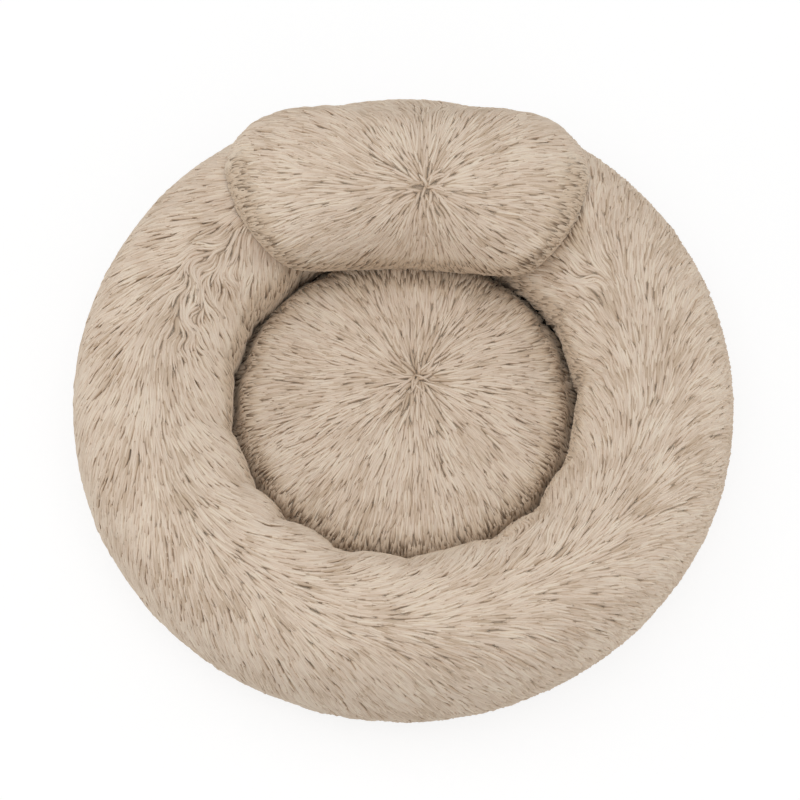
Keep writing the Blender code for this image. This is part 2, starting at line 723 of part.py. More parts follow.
def build():
    for old in list(bpy.data.objects):
        bpy.data.objects.remove(old)
    fur = material("beige_fur", (0.58, 0.48, 0.37), 0.95)
    pillow_fur = material("beige_pillow_fur", (0.60, 0.50, 0.39), 0.95)
    base_cloth = material("base_cloth", (0.50, 0.43, 0.34), 0.9)
    lining = material("lining_cloth", (0.62, 0.55, 0.45), 0.9)
    fibre = material("white_fibre", (0.85, 0.85, 0.83), 1.0)
    tape = material("zip_tape_cloth", (0.48, 0.40, 0.31), 0.85)
    teeth = material("zip_teeth_plastic", (0.42, 0.35, 0.27), 0.45)
    metal = material("zip_metal", (0.55, 0.53, 0.50), 0.35, 1.0)

    bolster_cover(fur)
    bolster_filling(fibre)
    seat_cover(fur)
    seat_liner(lining)
    seat_filling(fibre)
    base_panel("base_panel_front", -1, base_cloth)
    base_panel("base_panel_rear", 1, base_cloth)

    seam = (PILLOW_OFFSET, PILLOW_AXIS_BACK, PILLOW_AXIS_HEIGHT)
    pillow_cover(pillow_fur, seam)
    pillow_backing(lining, seam)
    pillow_filling(fibre, seam)

    zip_tape("zip_tape_front", -1, tape)
    zip_tape("zip_tape_rear", 1, tape)
    tooth_row("zip_teeth_front", -1, teeth)
    tooth_row("zip_teeth_rear", 1, teeth)
    zip_start_stop(metal)
    zip_end_stop("zip_end_stop_front", -1, metal)
    zip_end_stop("zip_end_stop_rear", 1, metal)
    zip_slider(metal)
    zip_pull(metal)


build()
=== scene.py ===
"""Looks of the plush pet bed: its fur, cloths, stitches and zip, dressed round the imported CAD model.

Lengths are in metres and angles in degrees. The ring, the seat and the pillow each have a skin, which repeats
the shape of the CAD solid and is swollen between its seams by a cloth simulation. The pile grows from the
skins lock by lock: a lock starts at a root, follows the lie of the nap over the skin and ends in a tip.
"""

import math

import bmesh
import bpy
import numpy as np
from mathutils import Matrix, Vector


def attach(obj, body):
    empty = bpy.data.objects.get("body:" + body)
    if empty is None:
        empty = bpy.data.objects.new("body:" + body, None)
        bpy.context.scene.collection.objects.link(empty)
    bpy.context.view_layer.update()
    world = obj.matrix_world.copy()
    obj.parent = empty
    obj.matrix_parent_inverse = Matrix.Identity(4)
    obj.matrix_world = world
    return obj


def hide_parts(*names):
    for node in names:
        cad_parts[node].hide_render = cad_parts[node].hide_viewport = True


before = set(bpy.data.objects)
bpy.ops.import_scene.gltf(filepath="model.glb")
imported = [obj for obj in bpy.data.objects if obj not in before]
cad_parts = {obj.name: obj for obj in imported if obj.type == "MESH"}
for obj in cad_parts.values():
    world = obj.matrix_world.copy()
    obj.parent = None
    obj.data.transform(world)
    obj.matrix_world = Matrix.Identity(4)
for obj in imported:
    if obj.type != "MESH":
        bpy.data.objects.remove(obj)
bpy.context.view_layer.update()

# Ring of the CAD model
BOLSTER_RADIUS = 0.088
BOLSTER_INNER_HALF_WIDTH = 0.082
RING_RADIUS = 0.262
RING_HEIGHT = 0.077
OUTER_ROUNDNESS = 2.3
INNER_ROUNDNESS = 2.1
OUTER_SEAM_TURN = -50
INNER_SEAM_TURN = 222
GATHER_DEPTH = 0.009
GATHER_START_TURN = 95
GATHER_FULL_TURN = 158
GATHER_END_TURN = 175
GATHERS_AND_DEPTH_SHARES = (
    (6, 0.35, 5),
    (31, 1.00, 6),
    (54, 0.45, 5),
    (127, 0.55, 6),
    (150, 0.95, 7),
    (168, 0.45, 6),
    (191, 0.30, 5),
    (214, 0.90, 6),
    (229, 0.70, 5),
    (250, 1.00, 6),
    (272, 0.35, 5),
    (301, 0.85, 6),
    (316, 1.00, 6),
    (338, 0.55, 6),
)

# Seat of the CAD model
SEAT_RADIUS = 0.17963
SEAT_EDGE_HEIGHT = 0.080
SEAT_CROWN = 0.017
SEAT_FULLNESS = 3.0
SEAT_EASE = 0.6

# Pillow of the CAD model
PILLOW_WIDTH = 0.3843
PILLOW_FRONT_WIDTH = 0.2575
PILLOW_REAR_WIDTH = 0.3305
PILLOW_LENGTH = 0.19
PILLOW_WIDEST_SHARE = 0.6
PILLOW_THICKNESS = 0.052
PILLOW_EDGE_THICKNESS = 0.008
PILLOW_FULLNESS = 2.5
PILLOW_CORNER_SHARE = 0.24
PILLOW_CORNER_ROUNDS = 4
PILLOW_OFFSET = 0.004
PILLOW_FRONT_TURN = 176
PILLOW_REAR_TURN = 66
PILLOW_END_TURN = 50
BACKING_SHARE = 0.97
BACKING_HEIGHT = 0.0016
BACKING_THICKNESS = 0.0010

# Base cloth and zip of the CAD model
BASE_INSET = 0.00525
BASE_THICKNESS = 0.0012
BASE_LIFT = 0.010
BASE_LIFT_RADIUS = 0.170
BASE_FOOT_TURN = -113
BASE_RIM_TURNS = (-67, -50.3)
BASE_FLOOR_GAP = 0.0002
BASE_RIPPLE = 0.0003
BASE_RIPPLE_NOISE = (0.05, 11)
BASE_HALF_AROUND = 91
BASE_STEPS = (16, 12, 8, 12)
SEAM_GAP = 0.0006
SLOT_LENGTH = 0.3801
SLOT_WIDTH = 0.015
TAPE_LENGTH = 0.3841
TAPE_WIDTH = 0.014
TAPE_SPLIT = 0.0034
TAPE_LOW = 0.0119
TAPE_RIPPLE = 0.00012
TAPE_RIPPLE_NOISE = (0.02, 21)
TAPE_THICKNESS = 0.0006
TAPE_GRID = (120, 9)
BACKING_RIPPLE = 0.0006
BACKING_RIPPLE_NOISE = (0.035, 31)
BACKING_RIPPLE_FLOOR = -0.4
BACKING_FLATNESS = 4
BACKING_GRID = (61, 41)
FIBRE_DEPTH = 0.0135
FIBRE_FLOOR = 0.0025
FIBRE_AROUND = 160
FIBRE_ACROSS = 40
FIBRE_UNDER = 14
FIBRE_SIDE_STEEPNESS = 4
STITCH_LENGTH = 0.0024
STITCH_PITCH = 0.0034
STITCH_SIDES = 6
STITCH_SHARES = (-1, -0.72, 0, 0.72, 1)
STITCH_LIFT_SHARES = (-0.6, 0.35, 0.6, 0.35, -0.6)
STITCH_WIDTH_SHARES = (0.3, 0.9, 1, 0.9, 0.3)
THREAD = 0.0005
ZIP_STITCH_OFFSETS = (0.0020, 0.0066)
RIM_STITCH_TURN = -54
RIM_STITCH_SPREAD = 1.4
RIM_STITCH_CLEARANCE = 0.004
RIM_STITCH_SLANT = (0.9, 0.5)

# Skins under the pile
PILE_DEPTH = 0.0058
SKIN_DEPTH = 0.0015
PRESSED_DEPTH = 0.0036
PRESSED_LIFT_SHARE = 0.6
RING_LOWEST_TURN = -57
RING_ROOTS_END_TURN = 172
SEAT_ROOTS_SHARE = 0.99
SEAT_DRAW_SHARE = 0.5
PILLOW_EDGE_DEPTH_SHARE = 0.35
PILLOW_TUCK_SLOPE = 1.6
PILLOW_LEAST_HEIGHT = 0.0022
PILLOW_FRONT_GRID = ((-0.98, 0.98, 50), (-1, -0.3, 30))
WELD_DISTANCE = 0.00001
CLOTH_SHARP_ANGLE = 50
PRESSED_EDGE = (-0.004, 0.012)
FLOOR_GAP = 0.0036
CREASE_TURNS = (158, 178)
CREASE_DRAW = 0.0055
CREASE_SHARE = 0.94
CREASE_DROP = 0.015
CREASE_REACH = 0.012
RING_AROUND = 320
RING_ACROSS = 60
SEAT_AROUND = 160
SEAT_OUTWARD = 28
SEAT_CENTRE = 0.02
SEAT_TUCK_SHARES = (1.02, 1.05, 1.09)
PILLOW_ACROSS = 72
PILLOW_ALONG = 44
PILLOW_CROWDING = 60
PILLOW_TUCK_SHARES = (1.012, 1.03, 1.06)
PILLOW_TUCK_REACH = 0.012
PILLOW_EDGE_DRAW = (3.2, 5.5)

# Cloth simulation of the skins
CLOTH_FRAMES = 20
CLOTH_PRESSURE = 4
CLOTH_SHRINK = -0.03
CLOTH_CAP = 0.004

# Pile: (root spacing, length, width) of its locks, and (sectors, seed) of each fur
RING_PILE = (0.0050, 0.036, 0.0055)
SEAT_PILE = (0.0047, 0.033, 0.0050)
PILLOW_PILE = (0.0047, 0.033, 0.0050)
TUFT_PILE = (0.0034, 0.024, 0.0046)
RING_PARTS = (8, 8)
SEAT_PARTS = (2, 8)
PILLOW_PARTS = (2, 10)
ROOT_TRIES = 4
ROOT_CELL_SHARE = 0.8
ROOT_CELL_KEY = 10007
LOCK_STATIONS = 8
LOCK_LENGTHS = (0.75, 1.2)
LOCK_WIDTHS = (0.75, 1.25)
LOCK_WIDTH_SHARES = (0.60, 0.88, 1.00, 1.00, 0.90, 0.72, 0.45, 0)
LOCK_LIFT_SHARES = (0.2, 0.62, 0.80, 0.89, 0.95, 0.98, 1.0, 0.95)
LOCK_RIDGE_SHARE = 0.42
LOCK_RISES = (0.92, 1.02)
LOOSE_SHARE = 0.12
LOOSE_LIFTS = (0.15, 0.45)
TONE_LEVELS = 64
# Map levels kept for tips with painted shade, and the least shade that takes one
PAINTED_SHADE_LEVELS = 16
LEAST_PAINTED_SHADE = 0.02
LEVEL_MARGIN = 0.01
MAP_EDGE = 0.01
MAP_NAMES = ("Lock", "OFBake")
TONE_STRIP_SHARE = 0.38
TONE_PATCH_SHARE = 0.2
TONE_NOISE = (0.05, 5)
TONE_SPREAD = 0.26
WHORL_RADIUS = 0.006
WHORL_HOLLOW = (0.010, 0.0035)
WHORL_STRAY = 1.6
WHORL_SHORTER_SHARE = 0.25
TUFT_RADIUS = 0.012
TUFT_EDGE_SHARES = (0.37, 0.92)
TUFT_START_LIFT = 0.72

# How far a lock leans from the nap and bends along it, in degrees: (most, patch size, seed) of its patches
LEAN_PATCHES = ((6, 0.060, 1), (5, 0.018, 2))
LEAN_SPREAD = 3
BEND_PATCHES = ((7, 0.022, 3),)
BEND_SPREAD = 5

# Nap of the ring: azimuth, turn where it runs straight round, most slant away from that, how gradual it is
NAP_OF_RING = (
    (0, 94, 72, 60),
    (25, 108, 72, 60),
    (50, 114, 72, 60),
    (75, 104, 66, 40),
    (105, 97, 60, 24),
    (150, 97, 60, 24),
    (166, 96, 66, 40),
    (180, 95, 72, 60),
    (235, 86, 72, 60),
    (270, 79, 72, 60),
    (315, 87, 72, 60),
)

# Where the nap of the ring is in disorder: (x, y, reach)
RUFFLES = (
    (-0.200, 0.130, 0.035),
    (-0.215, 0.080, 0.030),
    (-0.230, 0.034, 0.022),
    (0.205, 0.115, 0.025),
    (0.115, -0.185, 0.030),
)
RUFFLE_TURN = 50
RUFFLE_NOISE = (0.030, 7)

# Where tips get painted shade, as if down in shadow: turns of the ring's wall, room beside the pillow and
# turns where it counts, and how far behind the pillow's front on the seat
RING_PAINTED_SHADE_TURNS = (152, 168)
PAINTED_SHADE_BESIDE_PILLOW = 0.012
PAINTED_SHADE_BESIDE_TURNS = (75, 100)
PAINTED_SHADE_UNDER_PILLOW = (-0.002, 0.003)
SEAT_PAINTED_SHADE_SHARES = (0.925, 0.970)
SEAT_PAINTED_SHADE_REAR_SHIFT = 0.012
PILLOW_PAINTED_SHADE_SHARES = ((0.70, 0.82), (0.91, 0.96), (1.06, 1.16))
PILLOW_PAINTED_SHADE_FADE = (0.3, -0.2)

# Noise: each name above that ends in NOISE is (size of its lumps, seed)
NOISE_WAVES = 9
NOISE_SPREAD = (0.6, 1.4)
NOISE_PEAK = 1.6

# Camera
CAMERA_ELEVATION = 66
CAMERA_DISTANCE = 12.0
CAMERA_TARGET = (-0.0037, 0.0078, 0.0805)
VIEW_WIDTH = 0.8523
SENSOR_MM = 36
VIEW_END = 100

# Light: name, place, power in watts, width
LAMPS = (
    ("key_lamp", (-0.4, 0.1, 3.0), 22, 2.6),
    ("front_lamp", (0.4, -1.8, 2.8), 14.5, 2.2),
    ("left_lamp", (-2.6, 0.2, 1.0), 13, 1.6),
    ("right_lamp", (2.6, 0.2, 1.0), 11, 1.6),
)
WORLD_STRENGTH = 0.50
FLOOR_HALF_WIDTH = 8
FLOOR_COLOUR = (0.86, 0.86, 0.86, 1)
FLOOR_ROUGHNESS = 0.9
FLOOR_WHITE_SHARE = 0.75
FLOOR_WHITE_STRENGTH = 1.09

# Colours as they are seen, 0 to 255, along a lock, across it, from lock to lock and where a tip has painted
# shade
# Painted shade towards the root of each lock, lighter towards its tip
FUR_ALONG_PAINTED_ROOT_SHADE = (
    (0.0, (222, 200, 176)),
    (0.3, (236, 221, 205)),
    (0.7, (241, 227, 212)),
    (1.0, (245, 232, 218)),
)
# Painted shade across each lock, darker towards its sides
FUR_PAINTED_SIDE_SHADE = ((0.0, (255, 255, 255)), (0.3, (242, 238, 233)), (0.65, (214, 201, 187)), (1.0, (194, 172, 148)))
FUR_TONE = ((0.0, (222, 213, 202)), (0.5, (245, 240, 236)), (1.0, (255, 255, 252)))
SHEEN_COLOUR = (250, 232, 208)
# Painted shade on tips in creases and at the pillow's edges, deepest at the tip
FUR_PAINTED_TIP_SHADE = ((0.0, (255, 255, 255)), (0.55, (228, 219, 210)), (0.78, (146, 131, 117)), (1.0, (56, 44, 36)))
SKIN_COLOURS = ((0.3, (216, 194, 170)), (0.7, (232, 212, 190)))
# Painted shade on the skin down in the crease round the seat
CREASE_PAINTED_SHADE_COLOURS = ((0.0, (255, 255, 255)), (1.0, (66, 51, 40)))
BASE_COLOURS = ((0.2, (176, 160, 140)), (0.8, (198, 182, 162)))
LINING_COLOURS = ((0.2, (196, 182, 164)), (0.8, (214, 202, 186)))
TAPE_COLOURS = ((0.2, (160, 142, 122)), (0.8, (182, 164, 144)))
FIBRE_COLOURS = ((0.3, (226, 226, 222)), (0.7, (240, 240, 238)))
PLASTIC_COLOURS = ((0.3, (150, 134, 114)), (0.7, (166, 150, 130)))
METAL_COLOURS = ((0.3, (176, 172, 164)), (0.7, (200, 197, 190)))
THREAD_COLOURS = ((0.3, (206, 192, 172)), (0.7, (224, 212, 194)))

# Surface of the fur and of the skin under it
FUR_ROUGHNESS = 0.85
FUR_SHEEN_WEIGHT = 0.7
FUR_SHEEN_ROUGHNESS = 0.45
FUR_SPECULAR = 0.25
# How fast the painted shade on tips deepens with its level
PAINTED_SHADE_GAIN = 2.0
SKIN_ROUGHNESS = 0.95
SKIN_SPECKLE = (900, 4)
SKIN_BUMP = (0.6, 0.0008)
# Painted shade on the skin in the crease: its reach from the seat's rim, the height where it starts, and how
# far down it deepens
CREASE_SHADE_REACH = 0.012
CREASE_SHADE_TOP = 0.094
CREASE_SHADE_HEIGHT = 0.016

# Surface of the cloths: share of the weave and (scale, detail) of the slub in their colours, and their bump
CLOTH_SHEEN = 0.2
CLOTH_SPECULAR = 0.3
WEAVE_SHARE = 0.22
SLUB = (260, 5)
WEAVE_BUMP = 0.5
THREAD_RISE_SHARE = 1 / 6
GRAIN_DETAIL = 5

# Materials: weave is (thread pitch, roughness), and grain (roughness, scale, bump, its depth, metallic)
WEAVES = {
    "base_cloth": (BASE_COLOURS, 0.0012, 0.9),
    "zip_tape": (TAPE_COLOURS, 0.0006, 0.9),
    "thread": (THREAD_COLOURS, 0.0003, 0.8),
    "lining_cloth": (LINING_COLOURS, 0.0007, 0.9),
}
GRAINS = {
    "fibre": (FIBRE_COLOURS, 1.0, 700, 0.8, 0.002, 0.0),
    "zip_teeth": (PLASTIC_COLOURS, 0.42, 2500, 0.15, 0.0001, 0.0),
    "zip_metal": (METAL_COLOURS, 0.32, 1800, 0.12, 0.0001, 1.0),
}

# Smallest divisors, so that nothing is divided by zero
LEAST_LENGTH = 1e-9
LEAST_SHARE = 1e-6
LEAST_AREA = 1e-16

# Inputs and output of a colour mix node, by number
MIX_COLOURS = (6, 7)
MIX_RESULT = 2


def noise(points, scale, seed):
    """Smooth noise of about -1 to 1 at these points, with lumps of about this size."""
    rng = np.random.default_rng(seed)
    total = np.zeros(points.shape[:-1])
    for _ in range(NOISE_WAVES):
        wave = rng.normal(size=3)
        wave *= math.tau / scale * rng.uniform(*NOISE_SPREAD) / np.linalg.norm(wave)
        total += np.sin(points @ wave + rng.uniform(0, math.tau))
    return total * math.sqrt(2 / NOISE_WAVES) / NOISE_PEAK


def smooth(value, start=0, full=1):
    """Changes smoothly from 0 at the start value to 1 at the full value."""
    share = np.clip((value - start) / (full - start), 0, 1)
    return share * share * (3 - 2 * share)


def capped(value, most):
    """The value itself where it is small, easing towards the most that it may be."""
    return most * np.tanh(value / most)


def nearness(points, x, y, reach):
    """1 at this place seen from above, falling to 0 well past this reach."""
    away = np.hypot(points[:, 0] - x, points[:, 1] - y)
    return np.exp(-((away / reach) ** 2))


def blend(one, other, share):
    """This share of the way from one value to the other."""
    return one * (1 - share) + other * share


def dot(one, other):
    return (one * other).sum(-1)


def unit(vectors):
    return vectors / np.maximum(np.linalg.norm(vectors, axis=-1, keepdims=True), LEAST_LENGTH)


def level_with(vectors, normal):
    """These directions, turned to lie in the face that has this normal."""
    return unit(vectors - normal * dot(vectors, normal)[..., None])


def section_point(turn, inset):
    """(radius, height) on the ring's section at these turns, this far under the tips of its pile."""
    across = np.cos(np.radians(turn))
    up = np.sin(np.radians(turn))
    half_width = np.where(across > 0, BOLSTER_RADIUS, BOLSTER_INNER_HALF_WIDTH)
    power = 2 / np.where(across > 0, OUTER_ROUNDNESS, INNER_ROUNDNESS)
    across = np.sign(across) * np.abs(across) ** power
    up = np.sign(up) * np.abs(up) ** power
    return RING_RADIUS + (half_width - inset) * across, RING_HEIGHT + (BOLSTER_RADIUS - inset) * up


def gather(azimuth, turn):
    """How deep the fur is drawn in at this place on the ring."""
    rising = (turn - GATHER_START_TURN) / (GATHER_FULL_TURN - GATHER_START_TURN)
    falling = (GATHER_END_TURN - turn) / (GATHER_END_TURN - GATHER_FULL_TURN)
    depth = 0
    for middle, share, half_width in GATHERS_AND_DEPTH_SHARES:
        away = (azimuth - middle + 180) % 360 - 180
        depth = depth + share * np.exp(-((away / half_width) ** 2))
    return GATHER_DEPTH * depth * smooth(np.minimum(rising, falling))


def pillow_half_width(share):
    """Half the pillow's width this share of the way from its front edge to its rear edge."""
    front = np.sin(math.pi / 2 * share / PILLOW_WIDEST_SHARE)
    rear = np.cos(math.pi / 2 * (share - PILLOW_WIDEST_SHARE) / (1 - PILLOW_WIDEST_SHARE))
    ahead = share < PILLOW_WIDEST_SHARE
    end = np.where(ahead, PILLOW_FRONT_WIDTH, PILLOW_REAR_WIDTH)
    return (end + (PILLOW_WIDTH - end) * np.where(ahead, front, rear)) / 2


def corner_share(place):
    """How much of its reach the pillow has left where it is this far along the other way."""
    return np.sqrt(1 - PILLOW_CORNER_SHARE * np.clip(place, -1, 1) ** 2)


def pillow_point(across, along, height):
    """Place at this height over the ring's fur. across and along run from -1 to 1 over the pillow."""
    back = (along * corner_share(across) + 1) / 2
    x = across * corner_share(along) * pillow_half_width(back)
    turn = PILLOW_FRONT_TURN + (PILLOW_REAR_TURN - PILLOW_FRONT_TURN) * back
    turn = turn - PILLOW_END_TURN * (2 * x / PILLOW_WIDTH) ** 2
    x = x + PILLOW_OFFSET
    radius, z = section_point(turn, -height)
    return np.stack([x, np.sqrt(np.maximum(radius**2 - x**2, 0)), z], -1)


def inside_pillow(points, turn):
    """How far a place on the ring is from the pillow's edge: above 0 under the pillow, below 0 beside it."""
    x = points[..., 0] - PILLOW_OFFSET
    dropped = turn + PILLOW_END_TURN * (2 * x / PILLOW_WIDTH) ** 2
    back = (dropped - PILLOW_FRONT_TURN) / (PILLOW_REAR_TURN - PILLOW_FRONT_TURN)
    x_share = x / pillow_half_width(np.clip(back, 0, 1))
    y_share = 2 * back - 1
    across, along = x_share, y_share
    for _ in range(PILLOW_CORNER_ROUNDS):
        across, along = x_share / corner_share(along), y_share / corner_share(across)
    inside = np.minimum((1 - np.abs(across)) * PILLOW_WIDTH, (1 - np.abs(along)) * PILLOW_LENGTH) / 2
    return np.where(points[..., 1] > 0, inside, -1.0)


def covered_by_pillow(points, turn):
    """How much the pillow presses on the ring here, from 0 just outside its edge to 1 well inside."""
    return smooth(inside_pillow(points, turn), *PRESSED_EDGE)


class Skin:
    """A face that the pile grows from. u and v give a place on it, and depth how far under the tips."""

    wraps = True
    swell = None

    def swell_at(self, u, v):
        """How far the simulated cloth stands out here."""
        if self.swell is None:
            return 0.0
        i, j = self.grid_place(u, v)
        rows, columns = self.swell.shape
        i0 = np.floor(i).astype(int)
        j0 = np.floor(j).astype(int)
        fi, fj = i - i0, j - j0
        wrap = (lambda k: k % rows) if self.wraps else (lambda k: np.clip(k, 0, rows - 1))
        low, high = wrap(i0), wrap(i0 + 1)
        left, right = np.clip(j0, 0, columns - 1), np.clip(j0 + 1, 0, columns - 1)
        near = blend(self.swell[low, left], self.swell[low, right], fj)
        far = blend(self.swell[high, left], self.swell[high, right], fj)
        return blend(near, far, fi)

    def place(self, u, v, depth):
        return self.shape(u, v, depth - self.swell_at(u, v))

    def tangents(self, u, v, depth):
        du, dv = self.steps
        along_u = (self.place(u + du, v, depth) - self.place(u - du, v, depth)) / (2 * du)
        along_v = (self.place(u, v + dv, depth) - self.place(u, v - dv, depth)) / (2 * dv)
        return along_u, along_v

    def near_whorl(self, points, reach):
        """1 at the middle of the whorl, falling to 0 well past this reach."""
        return nearness(points, *self.whorl[:2], reach)

    def skin_depth(self, u, v):
        """How far the skin lies under the tips here: deeper where the locks part."""
        reach, hollow = WHORL_HOLLOW
        return SKIN_DEPTH + hollow * self.near_whorl(self.shape(u, v, 0), reach)

    def heading(self, u, v, along_u, along_v, points):
        """The lie of the nap: away from the whorl."""
        return level_with(points - np.array(self.whorl), unit(np.cross(along_u, along_v)))

    def lift(self, u, v, points):
        """How freely the pile stands here."""
        return np.ones(u.shape)


class Ring(Skin):
    """u is the azimuth, and v the turn up from the outer side."""

    steps = (0.2, 0.5)

    def near_whorl(self, points, reach):
        """0 throughout, since the ring has no whorl."""
        return np.zeros(len(points))

    def grid(self):
        azimuths = np.arange(RING_AROUND) * 360 / RING_AROUND
        turns = np.linspace(OUTER_SEAM_TURN, INNER_SEAM_TURN, RING_ACROSS)
        return np.meshgrid(azimuths, turns, indexing="ij")

    def grid_place(self, u, v):
        share = (v - OUTER_SEAM_TURN) / (INNER_SEAM_TURN - OUTER_SEAM_TURN)
        return u * RING_AROUND / 360, np.clip(share, 0, 1) * (RING_ACROSS - 1)

    def shape(self, u, v, depth):
        turn = np.clip(v, RING_LOWEST_TURN, INNER_SEAM_TURN)
        crease = smooth(turn, *CREASE_TURNS)
        radius, height = section_point(turn, depth + gather(u, turn) + CREASE_DRAW * crease)
        angle = np.radians(u)
        height = np.maximum(height, FLOOR_GAP)
        return np.stack([radius * np.cos(angle), radius * np.sin(angle), height], -1)

    def skin_depth(self, u, v):
        pressed = covered_by_pillow(self.shape(u, v, 0), v)
        return super().skin_depth(u, v) + (PRESSED_DEPTH - SKIN_DEPTH) * pressed

    def heading(self, u, v, along_u, along_v, points):
        table = np.array(NAP_OF_RING, float)
        azimuths = np.append(table[:, 0], 360)
        zero, most, softness = (
            np.interp(u % 360, azimuths, np.append(table[:, k], table[0, k])) for k in (1, 2, 3)
        )
        slant = most * np.tanh((zero - v) / softness)
        ruffled = RUFFLE_TURN * noise(points, *RUFFLE_NOISE)
        for ruffle in RUFFLES:
            slant = slant + ruffled * nearness(points, *ruffle)
        slant = np.radians(slant)[:, None]
        return unit(unit(along_u) * np.cos(slant) - unit(along_v) * np.sin(slant))

    def lift(self, u, v, points):
        return 1 - (1 - PRESSED_LIFT_SHARE) * covered_by_pillow(points, v)

    def painted_tip_shade(self, u, v):
        """How much painted shade a tip gets here, from 0 to 1: down in the crease and beside the pillow."""
        beside = smooth(inside_pillow(self.shape(u, v, 0), v), -PAINTED_SHADE_BESIDE_PILLOW, 0)
        return np.maximum(smooth(v, *RING_PAINTED_SHADE_TURNS), beside * smooth(v, *PAINTED_SHADE_BESIDE_TURNS))

    def root_kept(self, u, v):
        return v < RING_ROOTS_END_TURN


class Seat(Skin):
    """u and v are shares of the seat's radius along X and Y."""

    steps = (1e-3, 1e-3)
    whorl = (0.015, 0.029, 0.097)

    def grid(self):
        inside = np.sin(np.linspace(SEAT_CENTRE, 1, SEAT_OUTWARD) * math.pi / 2)
        angles = np.arange(SEAT_AROUND) * math.tau / SEAT_AROUND
        azimuth, share = np.meshgrid(angles, np.append(inside, SEAT_TUCK_SHARES), indexing="ij")
        return share * np.cos(azimuth), share * np.sin(azimuth)

    def grid_place(self, u, v):
        share = np.arcsin(np.clip(np.hypot(u, v), 0, 1)) / (math.pi / 2)
        outward = np.maximum(share - SEAT_CENTRE, 0) / (1 - SEAT_CENTRE)
        return np.arctan2(v, u) % math.tau * SEAT_AROUND / math.tau, outward * (SEAT_OUTWARD - 1)

    def shape(self, u, v, depth):
        share = np.hypot(u, v)
        inner = np.minimum(share, 1)
        over = (share - inner) * SEAT_RADIUS
        eased = CREASE_REACH * (1 - np.exp(-over / CREASE_REACH))
        reach = SEAT_RADIUS * inner + eased - SEAT_DRAW_SHARE * depth
        rise = (1 - inner**SEAT_FULLNESS) ** SEAT_EASE
        drop = CREASE_DROP * smooth(share, CREASE_SHARE, 1)
        height = SEAT_EDGE_HEIGHT + SEAT_CROWN * rise - drop - depth - over
        stretch = reach / np.maximum(share, LEAST_SHARE)
        return np.stack([stretch * u, stretch * v, height], -1)

    # Painted shade for tips at the seat's rim and just behind the pillow's front
    def painted_tip_shade(self, u, v):
        share = np.hypot(u, v)
        shift = SEAT_PAINTED_SHADE_REAR_SHIFT * v / np.maximum(share, LEAST_SHARE)
        rim = smooth(share - shift, *SEAT_PAINTED_SHADE_SHARES)
        x, y, _ = np.moveaxis(self.shape(u, v, 0), -1, 0)
        behind = y - np.interp(x, *pillow_front(), left=1, right=1)
        return np.maximum(rim, smooth(behind, *PAINTED_SHADE_UNDER_PILLOW))

    def root_kept(self, u, v):
        return np.hypot(u, v) < SEAT_ROOTS_SHARE


class Pillow(Skin):
    """u and v run from -1 to 1 across the pillow and from its front edge to its rear edge."""

    steps = (2e-3, 2e-3)
    wraps = False
    whorl = (0.024, 0.200, 0.205)

    @staticmethod
    def crowded(count):
        most = math.radians(PILLOW_CROWDING)
        inside = np.sin(most * np.linspace(-1, 1, count)) / math.sin(most)
        tuck = np.array(PILLOW_TUCK_SHARES)
        return np.concatenate([-tuck[::-1], inside, tuck])

    def grid(self):
        return np.meshgrid(self.crowded(PILLOW_ACROSS), self.crowded(PILLOW_ALONG), indexing="ij")

    def grid_place(self, u, v):
        most = math.radians(PILLOW_CROWDING)
        places = []
        for share, count in ((u, PILLOW_ACROSS), (v, PILLOW_ALONG)):
            even = np.arcsin(np.clip(share, -1, 1) * math.sin(most)) / most
            places.append((even + 1) / 2 * (count - 1) + len(PILLOW_TUCK_SHARES))
        return places

    def shape(self, u, v, depth):
        over_u, over_v = np.maximum(np.abs(u) - 1, 0), np.maximum(np.abs(v) - 1, 0)
        over = over_u * PILLOW_WIDTH / 2 + over_v * PILLOW_LENGTH / 2
        inner_u, inner_v = np.clip(u, -1, 1), np.clip(v, -1, 1)
        swell = np.sqrt((1 - np.abs(inner_u) ** PILLOW_FULLNESS) * (1 - np.abs(inner_v) ** PILLOW_FULLNESS))
        height = PILLOW_EDGE_THICKNESS + (PILLOW_THICKNESS - PILLOW_EDGE_THICKNESS) * swell
        sinking = depth * (PILLOW_EDGE_DEPTH_SHARE + (1 - PILLOW_EDGE_DEPTH_SHARE) * swell)
        height = np.maximum(height - sinking - PILLOW_TUCK_SLOPE * over, PILLOW_LEAST_HEIGHT)
        reach_u = inner_u + np.sign(u) * capped(over_u, PILLOW_TUCK_REACH)
        reach_v = inner_v + np.sign(v) * capped(over_v, PILLOW_TUCK_REACH)
        across = reach_u * (1 - PILLOW_EDGE_DRAW[0] * depth)
        along = reach_v * (1 - PILLOW_EDGE_DRAW[1] * depth)
        return pillow_point(across, along, height)

    # Painted shade for tips at the pillow's front, sides and corners
    def painted_tip_shade(self, u, v):
        reaches = (-v, np.abs(u), np.hypot(u, v))
        front, sides, corners = (smooth(reach, *row) for reach, row in zip(reaches, PILLOW_PAINTED_SHADE_SHARES))
        return np.maximum(front, np.maximum(sides, corners) * smooth(v, *PILLOW_PAINTED_SHADE_FADE))

    def root_kept(self, u, v):
        return (np.abs(u) < 1) & (np.abs(v) < 1)


def pillow_front():
    """How far forward the pillow stands out over the seat: X along it, and the Y of its front there."""
    across, along = np.meshgrid(*(np.linspace(*row) for row in PILLOW_FRONT_GRID), indexing="ij")
    points = Pillow().shape(across, along, 0.0)
    first = points[..., 1].argmin(1)
    front = points[np.arange(len(first)), first]
    order = front[:, 0].argsort()
    return front[order, 0], front[order, 1]


